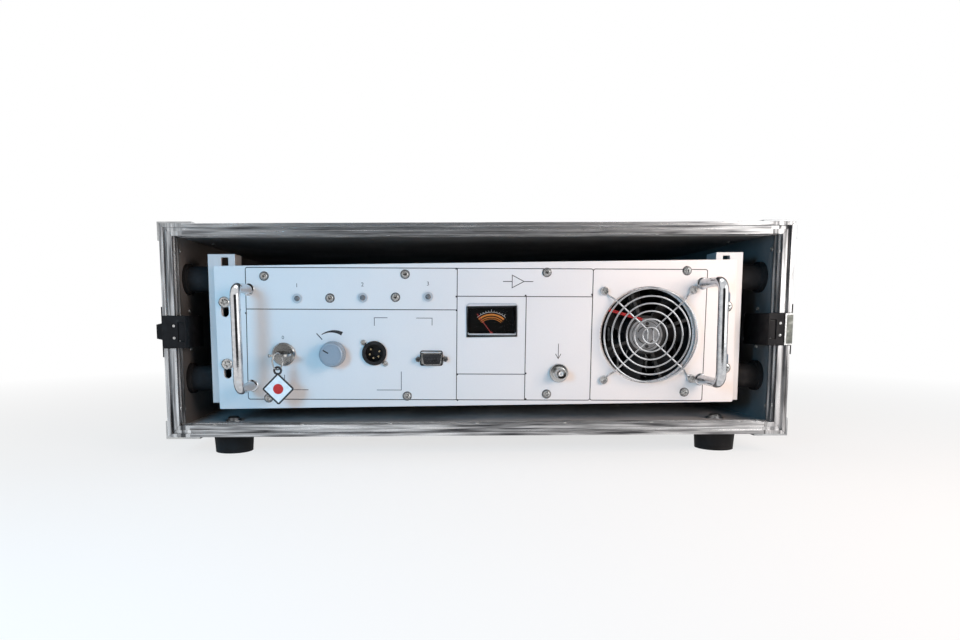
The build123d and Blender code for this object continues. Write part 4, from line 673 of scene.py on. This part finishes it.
# Small screws: domed socket-head panel screws of plain steel, each on a dark ring painted in as the shade
# round its head, two pan heads on the round socket, and a pair of threaded hexagon pillars beside the data
# socket.
edge_screw_us, edge_screw_v = (195.3, 65.5), 56.5
lamp_screw_us, lamp_screw_v = (-135.25, -74.75), 35.6
panel_screw_places = [(side * u, rise * edge_screw_v)
                      for side in (-1, 1) for u in edge_screw_us for rise in (-1, 1)]
panel_screw_places += [(u, lamp_screw_v) for u in lamp_screw_us]
screw_turn_step = 0.4
round_u, round_v, round_screw_reach = -95.4, -15.8, 10
pillar_reach = 12.5
dark_screw = new_finish("dark_screw", 0.9, 0.3)
tint(dark_screw, patches(dark_screw, 500.0), (0.35, (0.10, 0.10, 0.10)), (0.70, (0.30, 0.30, 0.30)))
roughen(dark_screw, patches(dark_screw, 900.0), 0.2, 0.38)
panel_steel = new_finish("panel_steel", 1.0, 0.25)
tint(panel_steel, patches(panel_steel, 700.0), (0.35, (0.34, 0.34, 0.34)), (0.65, (0.52, 0.52, 0.51)))
roughen(panel_steel, patches(panel_steel, 900.0), 0.18, 0.32)
socket_head = turned([(0, -11), (1.95, -11), (1.95, 0), (3.5, 0), (3.5, 0.8), (3.2, 1.6), (2.5, 2.3),
                      (2.0, 2.5), (many_sided(1.35, 6), 2.55), (many_sided(1.3, 6), 1.1), (0, 0.9)], 48)
screw_shade_ring = turned([(3.4, 0.0), (4.4, 0.0), (4.3, 0.35), (3.4, 0.5), (3.4, 0.0)], 36)
panel_screw_shapes = [(socket_head, on_panel(u, v, turn=k * screw_turn_step))
                      for k, (u, v) in enumerate(panel_screw_places)]
gather("panel_socket_screws", panel_screw_shapes, panel_steel, "amplifier", ["panel_screws"])
# The dark rings are painted shade round the screw heads.
gather("panel_screw_shade_rings", [(screw_shade_ring, on_panel(u, v)) for u, v in panel_screw_places],
       dark_screw, "amplifier")
small_pan = pan_head(radius=2.7, height=2.0, shank=1.4, length=6.0, recess=0.9)
socket_fixings = [(small_pan, on_panel(round_u + side * round_screw_reach, round_v - side * round_screw_reach,
                                       turn=turn)) for side, turn in ((-1, 0.5), (1, 0.9))]
gather("socket_fixings", socket_fixings, bright_screw, "amplifier")
pillar = turned([(0, -6), (1.4, -6), (1.4, 0), (many_sided(2.4, 6), 0), (many_sided(2.4, 6), 4.6),
                 (2.3, 5.0), (1.45, 5.0), (1.4, 1.5), (0, 1.5)], 48)
pillar_seats = [on_panel(data_u + side * pillar_reach, data_v, turn=0.3) for side in (-1, 1)]
gather("socket_pillars", [(pillar, place) for place in pillar_seats], dark_screw, "amplifier")

# Indicator lamps: three smoky grey lenses, none of them lit, in satin grey rings that are pressed
# into the panel. The lamps themselves sit on a small board behind it.
lamp_ring = new_finish("lamp_ring", 0.35, 0.35)
tint(lamp_ring, patches(lamp_ring, 1500.0), (0.35, (0.50, 0.53, 0.56)), (0.65, (0.60, 0.63, 0.66)))
roughen(lamp_ring, patches(lamp_ring, 800.0), 0.28, 0.42)
dress(lamp_ring, "lamp_bezels")
lamp_grey = new_finish("lamp_grey", 0.0, 0.25)
tint(lamp_grey, patches(lamp_grey, 500.0), (0.35, (0.11, 0.115, 0.12)), (0.65, (0.18, 0.185, 0.19)))
roughen(lamp_grey, patches(lamp_grey, 250.0), 0.15, 0.32)
dress(lamp_grey, "lamp_lenses")

# Key switch: a nickelled lock barrel with its key in it, on a split ring with a card tag.
# The tag is a white laminated diamond with a black border and a plain red disc. Sockets and
# the level control have the same nickel.
tag_low, tag_high = [1000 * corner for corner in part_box("key_tag")]
tag_x, tag_z = (tag_low.x + tag_high.x) / 2, tag_low.z + (tag_high.x - tag_low.x) / 2
tag_reach, tag_blunt, border_width, eyelet_drop = 13.0, 0.5, 1.5, 4.0
satin_nickel = new_finish("satin_nickel", 1.0, 0.26)
nickel_tone = patches(satin_nickel, 2200.0, detail=2.0)
tint(satin_nickel, nickel_tone, (0.35, (0.42, 0.42, 0.42)), (0.65, (0.52, 0.52, 0.51)))
roughen(satin_nickel, nickel_tone, 0.13, 0.22)
dress(satin_nickel, "key_barrel", "key_plug", "key", "key_ring", "output_socket", "dsub_shell", "pot_shaft",
      "pot_body")
tag_white = new_finish("tag_white", 0.0, 0.3)
tint(tag_white, patches(tag_white, 220.0), (0.35, (0.78, 0.78, 0.77)), (0.65, (0.90, 0.90, 0.89)))
roughen(tag_white, patches(tag_white, 120.0), 0.22, 0.4)
dress(tag_white, "key_tag")
tag_red = new_finish("tag_red", 0.0, 0.35)
tint(tag_red, patches(tag_red, 260.0), (0.35, (0.52, 0.020, 0.020)), (0.65, (0.66, 0.035, 0.030)))
roughen(tag_red, patches(tag_red, 120.0), 0.28, 0.42)
tag_disc = turned([(0, -0.1), (4.6, -0.1), (4.6, 0.06), (0, 0.06)], 40)
tag_corners = [(tag_reach, -tag_blunt), (tag_reach, tag_blunt), (tag_blunt, tag_reach),
               (-tag_blunt, tag_reach), (-tag_reach, tag_blunt), (-tag_reach, -tag_blunt),
               (-tag_blunt, -tag_reach), (tag_blunt, -tag_reach)]
tag_border = stroke(tag_corners + tag_corners[:1], border_width)
tag_eyelet = turned([(3.9, -0.3), (4.0, 0.1), (3.6, 0.4), (2.3, 0.4), (2.1, 0.1), (2.1, -0.3),
                     (3.9, -0.3)], 32)
for word, y, out in (("front", tag_low.y, (0, -1, 0)), ("back", tag_high.y, (0, 1, 0))):
    face = seat(tag_x, y, tag_z, out)
    eyelet_seat = seat(tag_x, y, tag_high.z - eyelet_drop, out)
    gather(f"tag_disc_{word}", [(tag_disc, face)], tag_red, "key_tag")
    gather(f"tag_border_{word}", [(tag_border, face)], black_fill, "key_tag")
    gather(f"tag_eyelet_{word}", [(tag_eyelet, eyelet_seat)], black_fill, "key_tag")

# Level knob: turned aluminium, satin anodised in a cool grey, with fine flutes for the fingers
# and an inlaid dark pointer. It is clamped on the control's shaft.
knob_top, pointer_turn, pointer_width = 17.14, radians(150), 1.2
knob_grey = new_finish("knob_grey", 0.35, 0.36)
knob_turning = patches(knob_grey, 2400.0, detail=2.0)
tint(knob_grey, knob_turning, (0.32, (0.28, 0.35, 0.42)), (0.68, (0.33, 0.40, 0.47)))
roughen(knob_grey, knob_turning, 0.3, 0.42)


def fluted(radius, depth, count):
    """A rim of shallow flutes."""
    return lambda angle: radius - depth * (0.5 + 0.5 * cos(count * angle))


knob_shape = turned([(0, 0.6), (11.4, 0.6), (12.0, 1.0), (12.0, 2.6), (11.7, 3.2),
                     (fluted(11.8, 0.5, 36), 3.9), (fluted(11.2, 0.5, 36), 14.6), (10.9, 15.4),
                     (10.5, 16.3), (9.8, 16.9), (9.2, 17.1), (9.0, 16.8), (8.7, 16.8), (8.5, 17.1),
                     (0, 17.15)], 216)
gather("fluted_knob", [(knob_shape, on_panel(knob_u, knob_v))], knob_grey, "level_knob",
       ["level_knob"])
knob_pointer = stroke([(8.2, 0), (2.6, 0)], pointer_width)
gather("knob_pointer", [(knob_pointer, on_panel(knob_u, knob_v, knob_top, pointer_turn))], black_fill,
       "level_knob")

# Round control socket: a black die-cast shell with five gilt pins in its bore, let into the panel
# from the front. The two pan heads among the small screws hold it.
black_casting = new_finish("black_casting", 0.3, 0.4)
casting_tone = patches(black_casting, 200.0)
tint(black_casting, casting_tone, (0.40, (0.008, 0.008, 0.009)), (0.75, (0.030, 0.030, 0.032)))
roughen(black_casting, casting_tone, 0.32, 0.52)
emboss(black_casting, patches(black_casting, 900.0), 0.0001, 0.3, edge=0.0004)
dress(black_casting, "xlr_shell")
gilt = new_finish("gilt", 1.0, 0.25)
tint(gilt, patches(gilt, 600.0), (0.35, (0.55, 0.44, 0.26)), (0.65, (0.74, 0.62, 0.40)))
roughen(gilt, patches(gilt, 900.0), 0.18, 0.34)
dress(gilt, "xlr_pins")

# Data socket: a nickelled steel shell round a black moulded insert with two rows of holes.
# Its pillars are among the small screws above.
black_moulding = new_finish("black_moulding", 0.0, 0.42)
moulding_tone = patches(black_moulding, 150.0)
tint(black_moulding, moulding_tone, (0.40, (0.010, 0.010, 0.011)), (0.72, (0.028, 0.028, 0.030)))
roughen(black_moulding, moulding_tone, 0.34, 0.55)
emboss(black_moulding, patches(black_moulding, 1200.0), 0.0001, 0.3, edge=0.0003)
dress(black_moulding, "dsub_insert", "meter_case", "mains_inlet")

# Level meter: a black moulded case flush in the panel, with a pale frame round its window, a printed
# dial behind clear plastic, and a red lacquered needle on a pivoted coil.
dial_out = panel_y - 1000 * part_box("meter_dial")[0].y + 0.02
dial_u, pivot_v = 14.3, 1.1
scale_radius, scale_start, scale_end, scale_width = 20.0, 132, 48, 0.35
tick_start, tick_step, tick_count, long_every = 126, 7.2, 11, 5
tick_reach, long_tick_reach = 21.4, 22.4
dial_bands = [(17.6, 1.6), (15.2, 0.7), (13.6, 0.5)]
meter_frame_box, meter_frame_corner = (-9.1, 0.5, 37.7, 28.7), 3.0
meter_frame_width, meter_frame_low, meter_frame_high = 1.5, -0.2, 0.5
dial_black = new_finish("dial_black", 0.0, 0.5, gleam=0.1)
tint(dial_black, patches(dial_black, 140.0), (0.40, (0.001, 0.001, 0.001)), (0.72, (0.004, 0.004, 0.004)))
roughen(dial_black, patches(dial_black, 300.0), 0.42, 0.6)
dress(dial_black, "meter_dial")
dial_white = new_finish("dial_white", 0.0, 0.5)
tint(dial_white, patches(dial_white, 500.0), (0.35, (0.72, 0.72, 0.70)), (0.65, (0.85, 0.85, 0.83)))
roughen(dial_white, patches(dial_white, 300.0), 0.42, 0.58)
dial_orange = new_finish("dial_orange", 0.0, 0.5)
tint(dial_orange, patches(dial_orange, 400.0), (0.35, (0.66, 0.19, 0.012)), (0.65, (0.80, 0.27, 0.025)))
roughen(dial_orange, patches(dial_orange, 300.0), 0.42, 0.58)
needle_red = new_finish("needle_red", 0.0, 0.35)
tint(needle_red, patches(needle_red, 600.0), (0.35, (0.34, 0.02, 0.015)), (0.65, (0.50, 0.035, 0.025)))
roughen(needle_red, patches(needle_red, 900.0), 0.28, 0.44)
dress(needle_red, "meter_needle")
clear_window = new_finish("clear_window", 0.0, 0.03)
window_sockets = clear_window.node_tree.nodes["Principled BSDF"].inputs
window_sockets["Transmission Weight"].default_value = 1.0
window_sockets["IOR"].default_value = 1.45
roughen(clear_window, patches(clear_window, 40.0), 0.01, 0.06)
tint(clear_window, patches(clear_window, 25.0), (0.3, (0.93, 0.95, 0.96)), (0.7, (0.98, 0.99, 1.0)))
dress(clear_window, "meter_window")
meter_frame = stroke(frame_line(*meter_frame_box, meter_frame_corner), meter_frame_width, meter_frame_low,
                     meter_frame_high)
gather("meter_frame", [(meter_frame, on_panel(0, 0))], lamp_ring, "amplifier")
scale_marks = [stroke(arc(dial_u, pivot_v, scale_radius, scale_start, scale_end), scale_width)]
for k in range(tick_count):
    reach = tick_reach if k % long_every else long_tick_reach
    tick = spoke(dial_u, pivot_v, scale_radius, reach, tick_start - tick_step * k)
    scale_marks.append(stroke(tick, scale_width))
scale_shapes = [(shape, on_panel(0, 0, dial_out)) for shape in scale_marks]
gather("meter_scale", scale_shapes, dial_white, "amplifier")
band_marks = [stroke(arc(dial_u, pivot_v, radius, scale_start, scale_end), width)
              for radius, width in dial_bands]
band_shapes = [(shape, on_panel(0, 0, dial_out)) for shape in band_marks]
gather("meter_band", band_shapes, dial_orange, "amplifier")

# Signal socket: a nickelled bayonet socket, turned in one with its round flange, and a white
# insulator round the centre contact. Two pins on the barrel catch the plug.
signal_v, signal_pin_out = -36.7, 10.0
signal_barrel = turned([(0, -12), (6.35, -12), (6.35, 0), (8.75, 0), (8.75, 2.1), (8.2, 2.9), (6.3, 3.0),
                        (6.1, 4.4), (4.85, 4.8), (4.85, 14.5), (4.5, 15.0), (4.2, 15.0), (4.15, 4.0),
                        (0, 4.0)], 48)
signal_pin = turned([(0, 4.5), (1.0, 4.5), (1.0, 5.3), (0.8, 5.6), (0, 5.6)], 16)
signal_spot = on_panel(signal_u, signal_v, signal_pin_out).translation * 1000
signal_shapes = [(signal_barrel, on_panel(signal_u, signal_v))]
signal_shapes += [(signal_pin, seat(*signal_spot, (side, 0, 0))) for side in (-1, 1)]
gather("signal_socket", signal_shapes, satin_nickel, "amplifier", ["bnc_socket"])
white_insulator = new_finish("white_insulator", 0.0, 0.4)
tint(white_insulator, patches(white_insulator, 500.0), (0.35, (0.72, 0.71, 0.68)), (0.65, (0.85, 0.84, 0.81)))
roughen(white_insulator, patches(white_insulator, 300.0), 0.32, 0.48)
dress(white_insulator, "bnc_core")

# Cooling fan: a black moulded frame and rotor behind the panel's round window, whose lip is bright,
# with a grey label on the fixed hub and a pair of red leads to it. The chromed wire guard in front is
# held by four pan-head screws through its eyes.
fan_u, fan_v, hole_half, guard_out = 160.0, -2.5, 41.25, 1.8
hub_face_y, label_half = -179.6, 0.1
label_out = panel_y - hub_face_y
hub_ring, hub_arc, hub_ring_width, hub_arc_width = 13.2, 8.0, 0.6, 1.0
hub_dot, hub_dot_u, hub_dot_rises = 1.7, 1, (-10.6, 10.6)
frame_end, hub_end = (121.9, 22.3), (156.0, 11.9)
lead_out, lead_radius = -4.9, 0.7
fan_black = new_finish("fan_black", 0.0, 0.45)
fan_dust = patches(fan_black, 80.0, detail=8.0)
tint(fan_black, fan_dust, (0.38, (0.008, 0.008, 0.008)), (0.60, (0.016, 0.016, 0.017)),
     (0.78, (0.040, 0.039, 0.038)))
roughen(fan_black, fan_dust, 0.36, 0.6)
emboss(fan_black, patches(fan_black, 900.0), 0.0001, 0.3, edge=0.0004)
dress(fan_black, "fan_frame", "fan_rotor")
fan_bolt = pan_head(radius=3.5, height=2.6, shank=2.0, length=24.0, recess=1.1)
fan_bolts = []
for side in (-1, 1):
    for rise in (-1, 1):
        u, v = fan_u + side * hole_half, fan_v + rise * hole_half
        fan_bolts.append((fan_bolt, on_panel(u, v, guard_out, 0.3 + side + rise)))
gather("fan_bolts", fan_bolts, bright_screw, "amplifier", ["fan_screws"])
label_silver = new_finish("label_silver", 0.6, 0.35)
tint(label_silver, patches(label_silver, 160.0), (0.35, (0.25, 0.26, 0.27)), (0.65, (0.36, 0.37, 0.38)))
roughen(label_silver, patches(label_silver, 100.0), 0.28, 0.42)
hub_label = turned([(0, -label_half), (15.5, -label_half), (15.5, label_half), (0, label_half)], 48)
gather("fan_hub_label", [(hub_label, on_panel(fan_u, fan_v, label_out))], label_silver, "amplifier")
mark_out = label_out + label_half
hub_marks = [stroke(arc(0, 0, hub_ring, 0, 360, 48), hub_ring_width),
             stroke(arc(0, 0, hub_arc, 200, 340), hub_arc_width),
             stroke(arc(0, 0, hub_arc, 20, 160), hub_arc_width)]
hub_shapes = [(shape, on_panel(fan_u, fan_v, mark_out)) for shape in hub_marks]
hub_shapes += [(dot(hub_dot), on_panel(fan_u + hub_dot_u, fan_v + rise, mark_out)) for rise in hub_dot_rises]
gather("fan_hub_marks", hub_shapes, black_fill, "amplifier")
lip_aluminium = new_finish("lip_aluminium", 0.4, 0.3)
tint(lip_aluminium, patches(lip_aluminium, 900.0), (0.35, (0.70, 0.71, 0.72)), (0.65, (0.82, 0.83, 0.84)))
roughen(lip_aluminium, patches(lip_aluminium, 500.0), 0.24, 0.38)
fan_lip = turned([(42.9, -3.9), (44.7, -3.9), (44.7, -2.9), (43.6, -2.7), (42.9, -3.5), (42.9, -3.9)], 96)
gather("fan_lip", [(fan_lip, on_panel(fan_u, fan_v))], lip_aluminium, "amplifier")
lead_red = new_finish("lead_red", 0.0, 0.4)
tint(lead_red, patches(lead_red, 400.0), (0.35, (0.36, 0.012, 0.014)), (0.65, (0.50, 0.024, 0.024)))
roughen(lead_red, patches(lead_red, 300.0), 0.32, 0.48)
lead_start = on_panel(*frame_end, lead_out).translation * 1000
lead_end = on_panel(*hub_end, lead_out).translation * 1000
lead_run = lead_end - lead_start
lead_gap = Vector((0.2, 0, 0.7))
lead = turned([(0, 0), (lead_radius, 0), (lead_radius, lead_run.length), (0, lead_run.length)], 16)
gather("fan_leads", [(lead, seat(*(lead_start + side * lead_gap), lead_run)) for side in (-1, 1)],
       lead_red, "amplifier")

# Studio: a pale floor, a cool soft box on the left, a warm one on the right and one above, and a gleam
# on the right that only metal mirrors. A dark card behind the camera is there for metal to mirror too.
# The camera looks slightly down at the panel.
floor_reach = 6.0
floor_fade_near, floor_fade_far, floor_fade_low = 0.25, 1.1, 0.72
card_left, card_right, card_y, card_top = -0.6, 0.72, -1.5, 0.75
sky_light = 0.14
left_aim, right_aim, top_aim = (-0.12, -0.18, 0.11), (0.2, -0.18, 0.11), (0.0, 0.0, 0.2)
eye_place = (-0.04589, -0.82006, 0.12763)
eye_tilt, eye_yaw, eye_roll = radians(5.987), radians(0.496), radians(-0.261)


def studio_sheet(name, corners, finish):
    """One flat sheet of the studio."""
    mesh = bpy.data.meshes.new(name)
    mesh.from_pydata(corners, [], [(0, 1, 2, 3)])
    mesh.materials.append(finish)
    sheet = bpy.data.objects.new(name, mesh)
    bpy.context.scene.collection.objects.link(sheet)
    return sheet


def seen_rays(tree):
    """1 for rays that show the background: straight, mirrored or through clear plastic."""
    path = tree.nodes.new("ShaderNodeLightPath")
    either = tree.nodes.new("ShaderNodeMath")
    either.operation = "MAXIMUM"
    any_of = tree.nodes.new("ShaderNodeMath")
    any_of.operation = "MAXIMUM"
    tree.links.new(path.outputs["Is Camera Ray"], either.inputs[0])
    tree.links.new(path.outputs["Is Glossy Ray"], either.inputs[1])
    tree.links.new(either.outputs[0], any_of.inputs[0])
    tree.links.new(path.outputs["Is Transmission Ray"], any_of.inputs[1])
    return any_of.outputs[0]


floor_white = new_finish("floor_white", 0.0, 0.9, gleam=0.0)
tint(floor_white, patches(floor_white, 3.0), (0.3, (0.86, 0.86, 0.86)), (0.7, (0.88, 0.88, 0.88)))
floor_corners = [(-floor_reach, -floor_reach, 0), (floor_reach, -floor_reach, 0),
                 (floor_reach, floor_reach, 0), (-floor_reach, floor_reach, 0)]
studio_floor = studio_sheet("studio_floor", floor_corners, floor_white)
floor_tree = floor_white.node_tree
glow = floor_tree.nodes.new("ShaderNodeEmission")
glow.inputs["Color"].default_value = (1, 1, 1, 1)
blend = floor_tree.nodes.new("ShaderNodeMixShader")
share = floor_tree.nodes.new("ShaderNodeMath")
share.operation = "MULTIPLY"
floor_spot = floor_tree.nodes.new("ShaderNodeTexCoord")
away = floor_tree.nodes.new("ShaderNodeVectorMath")
away.operation = "LENGTH"
fade = floor_tree.nodes.new("ShaderNodeMapRange")
fade.inputs["From Min"].default_value = floor_fade_near
fade.inputs["From Max"].default_value = floor_fade_far
fade.inputs["To Min"].default_value = floor_fade_low
fade.inputs["To Max"].default_value = 1.0
floor_tree.links.new(floor_spot.outputs["Object"], away.inputs[0])
floor_tree.links.new(away.outputs["Value"], fade.inputs["Value"])
floor_tree.links.new(seen_rays(floor_tree), share.inputs[0])
floor_tree.links.new(fade.outputs["Result"], share.inputs[1])
floor_tree.links.new(share.outputs[0], blend.inputs[0])
floor_tree.links.new(floor_tree.nodes["Principled BSDF"].outputs["BSDF"], blend.inputs[1])
floor_tree.links.new(glow.outputs["Emission"], blend.inputs[2])
floor_tree.links.new(blend.outputs["Shader"], floor_tree.nodes["Material Output"].inputs["Surface"])

card_grey = new_finish("card_grey", 0.0, 0.9)
tint(card_grey, patches(card_grey, 4.0), (0.4, (0.03, 0.03, 0.03)), (0.6, (0.09, 0.09, 0.09)))
card_corners = [(card_left, card_y, 0.0), (card_right, card_y, 0.0), (card_right, card_y, card_top),
                (card_left, card_y, card_top)]
dark_card = studio_sheet("dark_card", card_corners, card_grey)
dark_card.visible_camera = False
dark_card.visible_diffuse = False
dark_card.visible_shadow = False

world = bpy.data.worlds.new("studio")
bpy.context.scene.world = world
world.use_nodes = True
sky_tree = world.node_tree
sky = sky_tree.nodes["Background"]
sky.inputs["Color"].default_value = (1, 1, 1, 1)
sky_level = sky_tree.nodes.new("ShaderNodeMapRange")
sky_level.inputs["To Min"].default_value = sky_light
sky_level.inputs["To Max"].default_value = 1.0
sky_tree.links.new(seen_rays(sky_tree), sky_level.inputs["Value"])
sky_tree.links.new(sky_level.outputs["Result"], sky.inputs["Strength"])


def soft_lamp(name, place, aim, width, height, watts, colour, mirrored=True, lighting=True):
    """A soft box that looks from its place at its aim, in metres; it lights, is mirrored, or both."""
    lamp = bpy.data.lights.new(name, "AREA")
    lamp.shape = "RECTANGLE"
    lamp.size, lamp.size_y = width, height
    lamp.energy = watts
    lamp.color = colour
    holder = bpy.data.objects.new(name, lamp)
    holder.location = place
    holder.rotation_euler = (Vector(aim) - Vector(place)).to_track_quat("-Z", "Y").to_euler()
    holder.visible_camera = False
    holder.visible_glossy = mirrored
    holder.visible_diffuse = lighting
    bpy.context.scene.collection.objects.link(holder)


soft_lamp("left_soft_box", (-0.35, -0.785, 0.22), left_aim, width=0.16, height=0.16, watts=2.5,
          colour=(0.18, 0.62, 1.0), mirrored=False)
soft_lamp("right_soft_box", (0.50, -0.70, 0.30), right_aim, width=0.4, height=0.4, watts=4.2,
          colour=(1.0, 0.74, 0.61), mirrored=False)
soft_lamp("right_gleam", (0.64, -0.60, 0.32), right_aim, width=0.5, height=0.5, watts=1.6,
          colour=(1.0, 0.97, 0.94), lighting=False)
soft_lamp("top_soft_box", (0.0, 0.1, 2.0), top_aim, width=1.6, height=1.2, watts=9, colour=(1.0, 1.0, 1.0))

photo_camera = bpy.data.cameras.new("photo_camera")
photo_camera.lens = 25.519
photo_camera.sensor_width = 36.0
photo_camera.shift_x, photo_camera.shift_y = 0.0486, 0.0715
tripod = bpy.data.objects.new("photo_camera", photo_camera)
tripod.matrix_world = (Matrix.Translation(eye_place) @ Matrix.Rotation(-eye_yaw, 4, "Z")
                       @ Matrix.Rotation(pi / 2 - eye_tilt, 4, "X") @ Matrix.Rotation(eye_roll, 4, "Z"))
bpy.context.scene.collection.objects.link(tripod)
bpy.context.scene.camera = tripod
bpy.context.scene.view_settings.view_transform = "Standard"
